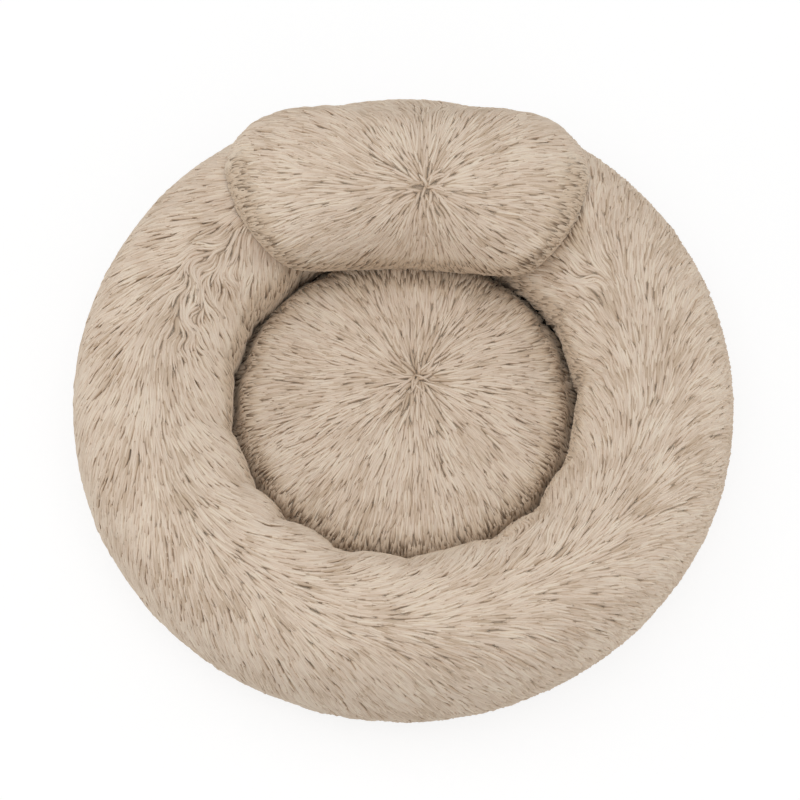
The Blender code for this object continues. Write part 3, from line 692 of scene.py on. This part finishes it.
def mesh_object(name, points, faces, surface, body=None):
    """A smooth object of these points and faces (arrays of one face size each), which rides on the body."""
    mesh = bpy.data.meshes.new(name)
    mesh.vertices.add(len(points))
    mesh.vertices.foreach_set("co", np.asarray(points, np.float32).ravel())
    sizes = np.concatenate([np.full(len(part), part.shape[1]) for part in faces])
    corners = np.concatenate([part.ravel() for part in faces])
    mesh.loops.add(len(corners))
    mesh.loops.foreach_set("vertex_index", corners.astype(np.int32))
    mesh.polygons.add(len(sizes))
    starts = np.concatenate([[0], np.cumsum(sizes)[:-1]])
    mesh.polygons.foreach_set("loop_start", starts.astype(np.int32))
    mesh.update(calc_edges=True)
    mesh.shade_smooth()
    mesh.materials.append(surface)
    made = bpy.data.objects.new(name, mesh)
    bpy.context.scene.collection.objects.link(made)
    if body:
        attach(made, body)
    return made


def mended(made, weld=True, thin=False, outward=False):
    """Joins points that fall together, drops faces without area and turns faces outwards, as asked."""
    maker = bmesh.new()
    maker.from_mesh(made.data)
    if weld:
        bmesh.ops.remove_doubles(maker, verts=maker.verts, dist=WELD_DISTANCE)
    if thin:
        bmesh.ops.dissolve_degenerate(maker, edges=maker.edges, dist=WELD_DISTANCE)
    if outward:
        bmesh.ops.recalc_face_normals(maker, faces=maker.faces)
    maker.to_mesh(made.data)
    maker.free()
    made.data.shade_smooth()
    return made


def grid_faces(rows, columns, wraps):
    """Quads of a grid of points, kept row by row."""
    i, j = np.meshgrid(np.arange(rows if wraps else rows - 1), np.arange(columns - 1), indexing="ij")
    i, j = i.ravel(), j.ravel()
    k = (i + 1) % rows
    return np.stack([i * columns + j, k * columns + j, k * columns + j + 1, i * columns + j + 1], -1)


def skin_faces(skin):
    """Faces of the skin's grid, which point outwards."""
    rows, columns = skin.grid()[0].shape
    faces = grid_faces(rows, columns, skin.wraps)
    if isinstance(skin, Seat):
        return [faces[:, ::-1], np.arange(rows)[None] * columns]
    return [faces]


def settle(skin, surface):
    """Swells the skin between its seams as cloth, and keeps how far each place of its grid stands out."""
    u, v = skin.grid()
    rows, columns = u.shape
    start = skin.shape(u.ravel(), v.ravel(), SKIN_DEPTH)
    shell = mesh_object("cloth", start, skin_faces(skin)[:1], surface)
    edge = np.zeros((rows, columns), bool)
    edge[:, -1] = True
    if isinstance(skin, Seat):
        edge[:, -len(SEAT_TUCK_SHARES) :] = True
    else:
        edge[:, 0] = True
    if not skin.wraps:
        tuck = len(PILLOW_TUCK_SHARES)
        edge[: tuck + 1] = edge[-tuck - 1 :] = edge[:, : tuck + 1] = edge[:, -tuck - 1 :] = True
    seam = shell.vertex_groups.new(name="seam")
    seam.add([int(k) for k in np.flatnonzero(edge)], 1.0, "REPLACE")
    cloth = shell.modifiers.new("cloth", "CLOTH")
    cloth.settings.use_pressure = True
    cloth.settings.uniform_pressure_force = CLOTH_PRESSURE
    cloth.settings.shrink_min = CLOTH_SHRINK
    cloth.settings.vertex_group_mass = "seam"
    cloth.settings.effector_weights.gravity = 0
    cloth.collision_settings.use_collision = False
    cloth.point_cache.frame_start = 1
    cloth.point_cache.frame_end = CLOTH_FRAMES
    for number in range(1, CLOTH_FRAMES + 1):
        bpy.context.scene.frame_set(number)
    blown = shell.evaluated_get(bpy.context.evaluated_depsgraph_get())
    points = np.zeros(rows * columns * 3, np.float32)
    blown.data.vertices.foreach_get("co", points)
    normal = unit(np.cross(*skin.tangents(u.ravel(), v.ravel(), SKIN_DEPTH)))
    swell = dot(points.reshape(-1, 3) - start, normal).reshape(rows, columns)
    swell -= swell.mean(0, keepdims=True) if skin.wraps else swell[~edge].mean()
    skin.swell = np.where(edge, 0, capped(swell, CLOTH_CAP))
    bpy.data.objects.remove(shell)
    bpy.context.scene.frame_set(1)


def skin_piece(name, skin, node, body, surface):
    """The skin itself, which the pile hides. It stands for the CAD cover."""
    u, v = skin.grid()
    u, v = u.ravel(), v.ravel()
    points = skin.place(u, v, skin.skin_depth(u, v))
    made = mended(mesh_object(name, points, skin_faces(skin), surface, body), thin=True)
    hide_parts(node)


def lock_roots(skin, spacing, rng):
    """Even but unruly root places on the skin's grid, this far apart."""
    u, v = skin.grid()
    points = skin.place(u, v, PILE_DEPTH)
    if skin.wraps:
        u = np.concatenate([u, u[:1] + (360 if isinstance(skin, Ring) else 0)])
        v = np.concatenate([v, v[:1]])
        points = np.concatenate([points, points[:1]])
    a, b, c, d = points[:-1, :-1], points[1:, :-1], points[1:, 1:], points[:-1, 1:]
    areas = np.linalg.norm(np.cross(c - a, d - b), axis=-1).ravel() / 2
    count = int(areas.sum() / spacing**2) * ROOT_TRIES
    chosen = rng.choice(len(areas), size=count, p=areas / areas.sum())
    i, j = np.divmod(chosen, u.shape[1] - 1)
    fu, fv = rng.random(count), rng.random(count)
    places = []
    for table in (u, v):
        near = blend(table[i, j], table[i + 1, j], fu)
        far = blend(table[i, j + 1], table[i + 1, j + 1], fu)
        places.append(blend(near, far, fv))
    u, v = places
    cells = np.floor(skin.place(u, v, PILE_DEPTH) / (spacing * ROOT_CELL_SHARE)).astype(np.int64)
    first = np.unique(cells @ np.array([1, ROOT_CELL_KEY, ROOT_CELL_KEY**2]), return_index=True)[1]
    u, v = u[first], v[first]
    kept = skin.root_kept(u, v)
    return u[kept], v[kept]


def tuft_roots(skin, spacing, rng):
    """Roots crowded round the middle of the skin's whorl, where locks start that stand up."""
    u, v = lock_roots(skin, spacing, rng)
    near = skin.near_whorl(skin.place(u, v, 0), TUFT_RADIUS) > rng.uniform(*TUFT_EDGE_SHARES, len(u))
    return u[near], v[near]


def in_patches(points, patches, spread, rng):
    """Degrees that change from patch to patch, and by this spread from lock to lock."""
    shared = sum(most * noise(points, size, seed) for most, size, seed in patches)
    return shared + rng.normal(0, spread, len(points))


def grow_locks(skin, u, v, sizes, rng, start_lift):
    """Centre lines and frames of the locks that grow from these roots, and how much painted shade their tips
    get.
    """
    count = len(u)
    length = sizes[1] * rng.uniform(*LOCK_LENGTHS, count)
    width = sizes[2] * rng.uniform(*LOCK_WIDTHS, count)
    rise = rng.uniform(*LOCK_RISES, count)
    roots = skin.place(u, v, PILE_DEPTH)
    lean = in_patches(roots, LEAN_PATCHES, LEAN_SPREAD, rng)
    bend = in_patches(roots, BEND_PATCHES, BEND_SPREAD, rng)
    stray = skin.near_whorl(roots, WHORL_RADIUS)[:, None]
    astray = unit(rng.normal(size=(count, 3))) * WHORL_STRAY
    length = length * (1 - WHORL_SHORTER_SHARE * stray[:, 0])
    loose = rng.random(count) < LOOSE_SHARE
    raised = np.where(loose, rng.uniform(*LOOSE_LIFTS, count), 0)
    centres, sides, ups = (np.zeros((LOCK_STATIONS, count, 3)) for _ in range(3))
    for k in range(LOCK_STATIONS):
        share = k / (LOCK_STATIONS - 1)
        lifted = start_lift + (1 - start_lift) * LOCK_LIFT_SHARES[k] + raised * share**3
        depth = PILE_DEPTH * (1 - lifted * rise * skin.lift(u, v, skin.shape(u, v, 0)))
        places = skin.place(u, v, depth)
        along_u, along_v = skin.tangents(u, v, depth)
        normal = unit(np.cross(along_u, along_v))
        heading = skin.heading(u, v, along_u, along_v, places)
        heading = level_with(blend(heading, astray, stray), normal)
        turn = np.radians(lean + bend * (2 * share - 1))[:, None]
        heading = heading * np.cos(turn) + np.cross(normal, heading) * np.sin(turn)
        centres[k] = places
        sides[k] = np.cross(heading, normal)
        ups[k] = normal
        tip = (u, v)
        step = length / (LOCK_STATIONS - 1)
        uu, vv, uv = dot(along_u, along_u), dot(along_v, along_v), dot(along_u, along_v)
        du, dv = dot(along_u, heading), dot(along_v, heading)
        det = np.maximum(uu * vv - uv * uv, LEAST_AREA)
        u = u + step * (du * vv - dv * uv) / det
        v = v + step * (dv * uu - du * uv) / det
    return centres, sides, ups, width, skin.painted_tip_shade(*tip)


def lock_mesh(name, locks, tones, surface, body):
    """Tapered locks with three sides each, and a map that gives the place along each lock and its tone or
    painted shade.
    """
    centres, sides, ups, width, painted_tip_shade = locks
    stations, count, _ = centres.shape
    widths = np.array(LOCK_WIDTH_SHARES)[:-1, None] * width
    half = sides[:-1] * widths[..., None] / 2
    ridge = ups[:-1] * widths[..., None] * LOCK_RIDGE_SHARE
    rings = np.stack([centres[:-1] - half, centres[:-1] + ridge, centres[:-1] + half], 2)
    rings = rings.transpose(1, 0, 2, 3).reshape(count, -1, 3)
    points = np.concatenate([rings, centres[-1][:, None]], axis=1).reshape(-1, 3)
    per_lock = 3 * (stations - 1) + 1
    quads, tris = [], [(0, 1, 2)]
    for k in range(stations - 2):
        for a, b in ((0, 1), (1, 2), (2, 0)):
            quads.append((3 * k + a, 3 * k + 3 + a, 3 * k + 3 + b, 3 * k + b))
    last = 3 * (stations - 2)
    for a, b in ((0, 1), (1, 2), (2, 0)):
        tris.append((last + a, per_lock - 1, last + b))
    quads, tris = np.array(quads)[:, ::-1], np.array(tris)[:, ::-1]
    starts = np.arange(count)[:, None, None] * per_lock
    faces = [(quads + starts).reshape(-1, 4), (tris + starts).reshape(-1, 3)]
    made = mesh_object(name, points, faces, surface, body)
    under = np.zeros(len(faces[0]) + len(faces[1]), bool)
    under[2 : len(faces[0]) : 3] = True
    under[len(faces[0]) :: 4] = under[len(faces[0]) + 3 :: 4] = True
    made.data.attributes.new("sharp_face", "BOOLEAN", "FACE").data.foreach_set("value", under)
    along = np.append(np.repeat(np.arange(stations - 1), 3), stations - 1) / (stations - 1)
    across = np.append(np.tile([-1, 0, 1], stations - 1), 0)
    # Locks whose tips have painted shade take the upper levels of the map, the rest one of the plain tones
    plain = TONE_LEVELS - PAINTED_SHADE_LEVELS
    painted_shade_level = plain + np.floor(painted_tip_shade * (PAINTED_SHADE_LEVELS - LEVEL_MARGIN))
    level = np.where(painted_tip_shade > LEAST_PAINTED_SHADE, painted_shade_level, np.floor(tones * plain))
    maps = np.empty((count, per_lock, 2), np.float32)
    maps[..., 0] = MAP_EDGE + (1 - 2 * MAP_EDGE) * along
    maps[..., 1] = (level[:, None] + 0.5 + across * TONE_STRIP_SHARE) / TONE_LEVELS
    corners = np.concatenate([part.ravel() for part in faces])
    values = maps.reshape(-1, 2)[corners].ravel()
    for title in MAP_NAMES:
        made.data.uv_layers.new(name=title).data.foreach_set("uv", values)


def fur_pieces(name, skin, sizes, body, sectors, seed, surface):
    """The pile of one skin, in sectors so that no piece is too large."""
    rng = np.random.default_rng(seed)
    grown = []
    for roots_at, pile, start_lift in ((lock_roots, sizes, 0.0), (tuft_roots, TUFT_PILE, TUFT_START_LIFT)):
        u, v = roots_at(skin, pile[0], rng)
        grown.append(grow_locks(skin, u, v, pile, rng, start_lift))
    centres, sides, ups = (np.concatenate([one[k] for one in grown], axis=1) for k in range(3))
    width, painted_tip_shade = (np.concatenate([one[k] for one in grown]) for k in (3, 4))
    shared = TONE_PATCH_SHARE * noise(centres[0], *TONE_NOISE)
    tones = 0.5 + shared + rng.normal(0, TONE_SPREAD, len(width))
    tones = np.clip(tones, 0, 0.999)
    x, y, _ = centres[0].T
    if skin.wraps:
        sector = np.floor(np.arctan2(y, x) % math.tau / math.tau * sectors)
    else:
        sector = np.where(x > PILLOW_OFFSET, 0, 1)
    for k in range(sectors):
        mine = sector == k
        locks = (centres[:, mine], sides[:, mine], ups[:, mine], width[mine], painted_tip_shade[mine])
        lock_mesh(f"{name}_{k + 1}", locks, tones[mine], surface, body)


def linear(colour):
    """Linear values of a colour written as it is seen, 0 to 255."""
    return [((c / 255 + 0.055) / 1.055) ** 2.4 if c > 10 else c / 255 / 12.92 for c in colour]


class Surface:
    """A material and short ways to add nodes to it. Each returns the new node's output."""

    def __init__(self, name, roughness, metallic=0.0):
        self.material = bpy.data.materials.new(name)
        self.material.use_nodes = True
        self.nodes = self.material.node_tree.nodes
        self.links = self.material.node_tree.links
        self.shader = self.nodes["Principled BSDF"]
        self.set(self.shader, {"Roughness": roughness, "Metallic": metallic})

    def set(self, node, inputs):
        """Gives a node's inputs values, or links them where the value is an output."""
        for title, value in inputs.items():
            if isinstance(value, bpy.types.NodeSocket):
                self.links.new(value, node.inputs[title])
            else:
                node.inputs[title].default_value = value

    def math(self, operation, *values):
        node = self.nodes.new("ShaderNodeMath")
        node.operation = operation
        self.set(node, dict(enumerate(values)))
        return node.outputs[0]

    def ramp(self, stops, value):
        node = self.nodes.new("ShaderNodeValToRGB")
        elements = node.color_ramp.elements
        while len(elements) < len(stops):
            elements.new(0.5)
        for element, (place, colour) in zip(elements, stops):
            element.position = place
            element.color = (*linear(colour), 1)
        self.set(node, {0: value})
        return node.outputs[0]

    def multiplied(self, one, other, factor=1.0):
        """The first colour times the second, as far as the factor says."""
        node = self.nodes.new("ShaderNodeMix")
        node.data_type = "RGBA"
        node.blend_type = "MULTIPLY"
        self.set(node, {"Factor": factor, MIX_COLOURS[0]: one, MIX_COLOURS[1]: other})
        return node.outputs[MIX_RESULT]

    def split(self, vector):
        node = self.nodes.new("ShaderNodeSeparateXYZ")
        self.set(node, {0: vector})
        return node.outputs

    def place(self):
        """The place in the bed's own frame."""
        return self.nodes.new("ShaderNodeTexCoord").outputs["Object"]

    def noise(self, scale, detail):
        node = self.nodes.new("ShaderNodeTexNoise")
        self.set(node, {"Scale": scale, "Detail": detail, "Vector": self.place()})
        return node.outputs["Fac"]

    def shaded(self, colour, height=None, strength=0.0, distance=0.0):
        """Gives the shader its colour and, where there is a height, its bump."""
        self.set(self.shader, {"Base Color": colour})
        if height is not None:
            bump = self.nodes.new("ShaderNodeBump")
            self.set(bump, {"Strength": strength, "Distance": distance, "Height": height})
            self.set(self.shader, {"Normal": bump.outputs["Normal"]})
        return self.material


def fur_material():
    """Locks: painted shade towards the root, along their sides and on tips in creases and by the pillow, each
    in its own tone.
    """
    fur = Surface("fur", FUR_ROUGHNESS)
    fur.set(fur.shader, {
        "Sheen Weight": FUR_SHEEN_WEIGHT,
        "Sheen Roughness": FUR_SHEEN_ROUGHNESS,
        "Sheen Tint": (*linear(SHEEN_COLOUR), 1),
        "Specular IOR Level": FUR_SPECULAR,
    })
    lock_map = fur.nodes.new("ShaderNodeUVMap")
    lock_map.uv_map = MAP_NAMES[0]
    along, level, _ = fur.split(lock_map.outputs["UV"])
    # Painted shade towards the lock's sides
    strip = fur.math("FRACT", fur.math("MULTIPLY", level, TONE_LEVELS))
    away = fur.math("ABSOLUTE", fur.math("SUBTRACT", strip, 0.5))
    side = fur.ramp(FUR_PAINTED_SIDE_SHADE, fur.math("MULTIPLY", away, 2.0))
    plain = (TONE_LEVELS - PAINTED_SHADE_LEVELS) / TONE_LEVELS
    tone = fur.ramp(FUR_TONE, fur.math("DIVIDE", level, plain))
    # Painted shade towards the root and on the sides, times the lock's own tone
    colour = fur.multiplied(fur.multiplied(fur.ramp(FUR_ALONG_PAINTED_ROOT_SHADE, along), side), tone)
    # Painted shade on tips in creases and at the pillow's edges, from the upper levels of the map
    painted_tip_shade = fur.math("DIVIDE", fur.math("SUBTRACT", level, plain), 1 - plain)
    painted_tip_shade = fur.math("MULTIPLY", fur.math("MAXIMUM", painted_tip_shade, 0.0), PAINTED_SHADE_GAIN)
    return fur.shaded(fur.multiplied(colour, fur.ramp(FUR_PAINTED_TIP_SHADE, along), fur.math("MINIMUM", painted_tip_shade, 1.0)))


def skin_material():
    """Dense under-pile, with painted shade down in the crease round the seat."""
    skin = Surface("fur_skin", SKIN_ROUGHNESS)
    x, y, z = skin.split(skin.place())
    speckle = skin.noise(*SKIN_SPECKLE)
    # Painted shade in the crease: deepest near the seat's rim and low down
    square = skin.math("ADD", skin.math("MULTIPLY", x, x), skin.math("MULTIPLY", y, y))
    off = skin.math("ABSOLUTE", skin.math("SUBTRACT", skin.math("SQRT", square), SEAT_RADIUS))
    near = skin.math("SUBTRACT", 1.0, skin.math("DIVIDE", off, CREASE_SHADE_REACH))
    low = skin.math("DIVIDE", skin.math("SUBTRACT", CREASE_SHADE_TOP, z), CREASE_SHADE_HEIGHT)
    deep = skin.math("MAXIMUM", skin.math("MINIMUM", near, low), 0.0)
    crease = skin.ramp(CREASE_PAINTED_SHADE_COLOURS, skin.math("MINIMUM", deep, 1.0))
    colour = skin.multiplied(skin.ramp(SKIN_COLOURS, speckle), crease)
    return skin.shaded(colour, speckle, *SKIN_BUMP)


def woven_material(name, colours, pitch, roughness):
    """Plain weave whose threads lie this far apart, along X and Y."""
    cloth = Surface(name, roughness)
    cloth.set(cloth.shader, {"Sheen Weight": CLOTH_SHEEN, "Specular IOR Level": CLOTH_SPECULAR})
    x, y, _ = cloth.split(cloth.place())
    waves = (cloth.math("SINE", cloth.math("MULTIPLY", c, math.tau / pitch)) for c in (x, y))
    weave = cloth.math("MULTIPLY", *waves)
    mixed = cloth.math("ADD", cloth.math("MULTIPLY", weave, WEAVE_SHARE), cloth.noise(*SLUB))
    return cloth.shaded(cloth.ramp(colours, mixed), weave, WEAVE_BUMP, pitch * THREAD_RISE_SHARE)


def speckled_material(name, colours, roughness, scale, strength, distance, metallic):
    """Fine grain of this scale in colour and bump."""
    grained = Surface(name, roughness, metallic)
    grain = grained.noise(scale, GRAIN_DETAIL)
    return grained.shaded(grained.ramp(colours, grain), grain, strength, distance)


def camera_and_light():
    scene = bpy.context.scene
    elevation = math.radians(CAMERA_ELEVATION)
    back = Vector((0, -math.cos(elevation), math.sin(elevation)))
    lens = bpy.data.cameras.new("camera")
    lens.sensor_width = SENSOR_MM
    lens.lens = SENSOR_MM * CAMERA_DISTANCE / VIEW_WIDTH
    lens.clip_end = VIEW_END
    camera = bpy.data.objects.new("camera", lens)
    camera.location = Vector(CAMERA_TARGET) + back * CAMERA_DISTANCE
    camera.rotation_euler = back.to_track_quat("Z", "Y").to_euler()
    scene.collection.objects.link(camera)
    scene.camera = camera
    for name, place, power, size in LAMPS:
        lamp = bpy.data.lights.new(name, "AREA")
        lamp.energy = power
        lamp.size = size
        made = bpy.data.objects.new(name, lamp)
        made.location = place
        made.rotation_euler = Vector(place).to_track_quat("Z", "Y").to_euler()
        scene.collection.objects.link(made)
    world = bpy.data.worlds.new("studio")
    world.use_nodes = True
    sky = world.node_tree.nodes["Background"]
    sky.inputs["Color"].default_value = (1, 1, 1, 1)
    sky.inputs["Strength"].default_value = WORLD_STRENGTH
    scene.world = world
    scene.view_settings.view_transform = "Standard"


def stage():
    """Pale floor that keeps the bed's soft shadow and shows white to the camera."""
    floor = Surface("floor", FLOOR_ROUGHNESS)
    floor.shaded(FLOOR_COLOUR)
    path = floor.nodes.new("ShaderNodeLightPath").outputs
    seen = floor.math("ADD", path["Is Camera Ray"], path["Is Glossy Ray"])
    seen = floor.math("ADD", seen, path["Is Transmission Ray"])
    white = floor.nodes.new("ShaderNodeEmission")
    floor.set(white, {"Strength": FLOOR_WHITE_STRENGTH})
    both = floor.nodes.new("ShaderNodeMixShader")
    shares = floor.math("MULTIPLY", seen, FLOOR_WHITE_SHARE)
    floor.set(both, {0: shares, 1: floor.shader.outputs[0], 2: white.outputs[0]})
    floor.set(floor.nodes["Material Output"], {"Surface": both.outputs[0]})
    corners = FLOOR_HALF_WIDTH * np.array([(-1, -1, 0), (1, -1, 0), (1, 1, 0), (-1, 1, 0)])
    mesh_object("floor", corners, [np.array([[0, 1, 2, 3]])], floor.material)


def cloth_object(name, lower, upper, surface, body, slot):
    """A closed sheet of cloth between two grids of points, with walls round its edge."""
    rows, columns, _ = lower.shape
    faces = grid_faces(rows, columns, False)
    front = np.arange(columns)
    rear = front + (rows - 1) * columns
    right = np.arange(rows) * columns + columns - 1
    left = np.arange(rows) * columns
    rim = np.concatenate([left[:-1], rear[:-1], right[:0:-1], front[:0:-1]])
    after = np.roll(rim, -1)
    size = rows * columns
    walls = np.stack([rim, after, after + size, rim + size], -1)
    points = np.concatenate([lower.reshape(-1, 3), upper.reshape(-1, 3)])
    faces = [np.concatenate([faces[:, ::-1], faces + size, walls])]
    made = mended(mesh_object(name, points, faces, surface, body), outward=True)
    made.data.set_sharp_from_angle(angle=math.radians(CLOTH_SHARP_ANGLE))
    return made


def base_profile(depth):
    """Radii and heights of a face of the base cloth, from the middle to its rim, this deep in the cloth."""
    inset = BASE_INSET + depth
    low = BASE_FLOOR_GAP + depth
    raised_steps, slope_steps, level_steps, rim_steps = BASE_STEPS
    rim = np.array([section_point(turn, inset) for turn in np.linspace(*BASE_RIM_TURNS, rim_steps)])
    foot = float(section_point(BASE_FOOT_TURN, inset)[0])
    raised = np.linspace(0, BASE_LIFT_RADIUS, raised_steps)[:-1]
    slope = np.linspace(0, 1, slope_steps)
    level = np.linspace(foot, rim[0, 0], level_steps)[1:-1]
    radii = np.concatenate([raised, BASE_LIFT_RADIUS + (foot - BASE_LIFT_RADIUS) * slope, level, rim[:, 0]])
    heights = np.concatenate([
        np.full(len(raised), BASE_LIFT),
        BASE_LIFT * (1 + np.cos(math.pi * slope)) / 2,
        np.zeros(len(level)),
        np.maximum(rim[:, 1] - low, 0),
    ])
    return radii, heights + low


def base_cloth(name, side, surface):
    """One half of the base cloth. side is -1 in front and +1 behind."""
    angles = np.radians(np.linspace(0, 180, BASE_HALF_AROUND))
    faces = []
    for depth in (0, BASE_THICKNESS):
        radii, heights = base_profile(depth)
        radius, angle = np.meshgrid(radii, angles, indexing="ij")
        height = np.broadcast_to(heights[:, None], radius.shape)
        x = radius * np.cos(angle)
        edge = np.where(np.abs(x) < SLOT_LENGTH / 2, SLOT_WIDTH, SEAM_GAP) / 2
        y = np.maximum(radius * np.sin(angle), edge)
        points = np.stack([x, side * y, height], -1)
        points[..., 2] += noise(points, *BASE_RIPPLE_NOISE) * BASE_RIPPLE * (radius < BASE_LIFT_RADIUS)
        faces.append(points)
    made = cloth_object(name, *faces, surface, "bed", "base_cloth")
    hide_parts(name.replace("cloth", "panel"))


def zip_tape(name, side, surface):
    """Tape of one row of teeth, with a slightly slack outer edge."""
    along = np.linspace(-TAPE_LENGTH / 2, TAPE_LENGTH / 2, TAPE_GRID[0])
    across = np.linspace(0, 1, TAPE_GRID[1])
    x, share = np.meshgrid(along, across, indexing="ij")
    y = side * (TAPE_SPLIT / 2 + TAPE_WIDTH * share)
    lower = np.stack([x, y, np.full(x.shape, TAPE_LOW)], -1)
    lower[..., 2] += noise(lower, *TAPE_RIPPLE_NOISE) * TAPE_RIPPLE * share
    made = cloth_object(name + "_cloth", lower, lower + [0, 0, TAPE_THICKNESS], surface, "bed", "zip_tape")
    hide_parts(name)


def pillow_backing(surface):
    """Plain cloth under the pillow, a little rumpled between its edges."""
    ticks = (np.linspace(-BACKING_SHARE, BACKING_SHARE, count) for count in BACKING_GRID)
    across, along = np.meshgrid(*ticks, indexing="ij")
    free_x, free_y = (1 - (share / BACKING_SHARE) ** BACKING_FLATNESS for share in (across, along))
    flat = pillow_point(across, along, BACKING_HEIGHT)
    ripple = np.maximum(noise(flat, *BACKING_RIPPLE_NOISE), BACKING_RIPPLE_FLOOR)
    height = BACKING_HEIGHT + free_x * free_y * ripple * BACKING_RIPPLE
    lower = pillow_point(across, along, height)
    upper = pillow_point(across, along, height + BACKING_THICKNESS)
    made = cloth_object("pillow_backing_cloth", lower, upper, surface, "pillow", "lining_cloth")
    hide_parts("pillow_backing")


def ring_fibre(ring, surface):
    """The ring's filling, round the whole section under the fur and the base cloth."""
    azimuths = np.arange(FIBRE_AROUND) * 360 / FIBRE_AROUND
    turns = np.linspace(OUTER_SEAM_TURN, INNER_SEAM_TURN, FIBRE_ACROSS)
    u, v = np.meshgrid(azimuths, turns, indexing="ij")
    upper = ring.place(u, v, FIBRE_DEPTH)
    radii = np.linspace(upper[:, -1, :2], upper[:, 0, :2], FIBRE_UNDER, axis=1)[:, 1:-1]
    share = np.linspace(0, 1, FIBRE_UNDER)[1:-1]
    inner, outer = (1 - share) ** FIBRE_SIDE_STEEPNESS, share**FIBRE_SIDE_STEEPNESS
    heights = upper[:, -1:, 2] * inner + upper[:, :1, 2] * outer
    lower = np.concatenate([radii, np.maximum(heights, FIBRE_FLOOR)[..., None]], -1)
    points = np.concatenate([upper, lower], 1)
    rows, columns, _ = points.shape
    first = np.arange(rows) * columns
    after = np.roll(first, -1)
    closing = np.stack([first + columns - 1, after + columns - 1, after, first], -1)
    faces = [np.concatenate([grid_faces(rows, columns, True), closing])]
    made = mesh_object("ring_fibre", points.reshape(-1, 3), faces, surface, "bed")
    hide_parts("bolster_filling")


def stitches(name, places, headings, up, surface):
    """Short threads, each lying on its cloth and dipping into it at both ends."""
    sides = np.cross(headings, up)
    rings = []
    for share, lift, width in zip(STITCH_SHARES, STITCH_LIFT_SHARES, STITCH_WIDTH_SHARES):
        middle = places + headings * STITCH_LENGTH / 2 * share + up * lift * THREAD
        for turn in np.arange(STITCH_SIDES) * math.tau / STITCH_SIDES:
            rings.append(middle + (sides * math.cos(turn) + up * math.sin(turn)) * width * THREAD / 2)
    points = np.stack(rings, 1)
    count, size, _ = points.shape
    quads = []
    for low in range(0, size - STITCH_SIDES, STITCH_SIDES):
        for i in range(STITCH_SIDES):
            j = (i + 1) % STITCH_SIDES
            quads.append((low + i, low + j, low + STITCH_SIDES + j, low + STITCH_SIDES + i))
    ends = np.array([range(STITCH_SIDES), range(size - 1, size - STITCH_SIDES - 1, -1)])
    starts = np.arange(count)[:, None, None] * size
    faces = [(np.array(quads) + starts).reshape(-1, 4), (ends + starts).reshape(-1, STITCH_SIDES)]
    return mended(mesh_object(name, points.reshape(-1, 3), faces, surface, "bed"), weld=False, outward=True)


def base_stitches(surface):
    """Two rows of stitches along each side of the zip, and one round the rim of the base."""
    radii, heights = base_profile(0)
    places, headings = [], []
    along = np.arange(-SLOT_LENGTH / 2, SLOT_LENGTH / 2, STITCH_PITCH)
    for side in (-1, 1):
        for off in ZIP_STITCH_OFFSETS:
            y = np.full(len(along), side * (SLOT_WIDTH / 2 + off))
            places.append(np.stack([along, y, np.interp(np.hypot(along, y), radii, heights)], -1))
            headings.append(np.tile([1.0, 0, 0], (len(along), 1)))
    rim, low = section_point(RIM_STITCH_TURN, BASE_INSET)
    angle = np.arange(0, math.tau, STITCH_PITCH * RIM_STITCH_SPREAD / float(rim))
    angle = angle[np.abs(np.sin(angle)) * rim > RIM_STITCH_CLEARANCE]
    out = np.stack([np.cos(angle), np.sin(angle), np.zeros(len(angle))], -1)
    places.append(out * rim + [0, 0, float(low)])
    headings.append(np.stack([-np.sin(angle), np.cos(angle), np.zeros(len(angle))], -1))
    down = np.array([0, 0, -1.0])
    outward_share, down_share = RIM_STITCH_SLANT
    ups = [np.tile(down, (sum(map(len, places[:-1])), 1)), unit(out * outward_share + down * down_share)]
    rows = (np.concatenate(each) for each in (places, headings, ups))
    stitches("base_stitches", *rows, surface)


def node_surface(node, surface):
    """Gives a CAD node that stays in view this material."""
    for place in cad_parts[node].material_slots:
        place.material = surface


def build():
    camera_and_light()
    stage()
    fur, under_pile = fur_material(), skin_material()
    base, tape, thread, lining = (woven_material(name, *values) for name, values in WEAVES.items())
    fibre, teeth, metal = (speckled_material(name, *values) for name, values in GRAINS.items())
    ring, seat, pillow = Ring(), Seat(), Pillow()
    for skin in (ring, seat, pillow):
        settle(skin, under_pile)
    skin_piece("bolster_skin", ring, "bolster_cover", "bed", under_pile)
    skin_piece("seat_skin", seat, "seat_cover", "bed", under_pile)
    skin_piece("pillow_skin", pillow, "pillow_cover", "pillow", under_pile)
    halves = ((-1, "front"), (1, "rear"))
    for side, word in halves:
        base_cloth("base_cloth_" + word, side, base)
    for side, word in halves:
        zip_tape("zip_tape_" + word, side, tape)
    base_stitches(thread)
    pillow_backing(lining)
    ring_fibre(ring, fibre)
    for surface, nodes in (
        (lining, ("seat_liner",)),
        (fibre, ("seat_filling", "pillow_filling")),
        (teeth, ("zip_teeth_front", "zip_teeth_rear")),
        (metal, ("zip_start_stop", "zip_end_stop_front", "zip_end_stop_rear", "zip_slider", "zip_pull")),
    ):
        for node in nodes:
            node_surface(node, surface)
    fur_pieces("ring_fur", ring, RING_PILE, "bed", *RING_PARTS, fur)
    fur_pieces("seat_fur", seat, SEAT_PILE, "bed", *SEAT_PARTS, fur)
    fur_pieces("pillow_fur", pillow, PILLOW_PILE, "pillow", *PILLOW_PARTS, fur)


build()
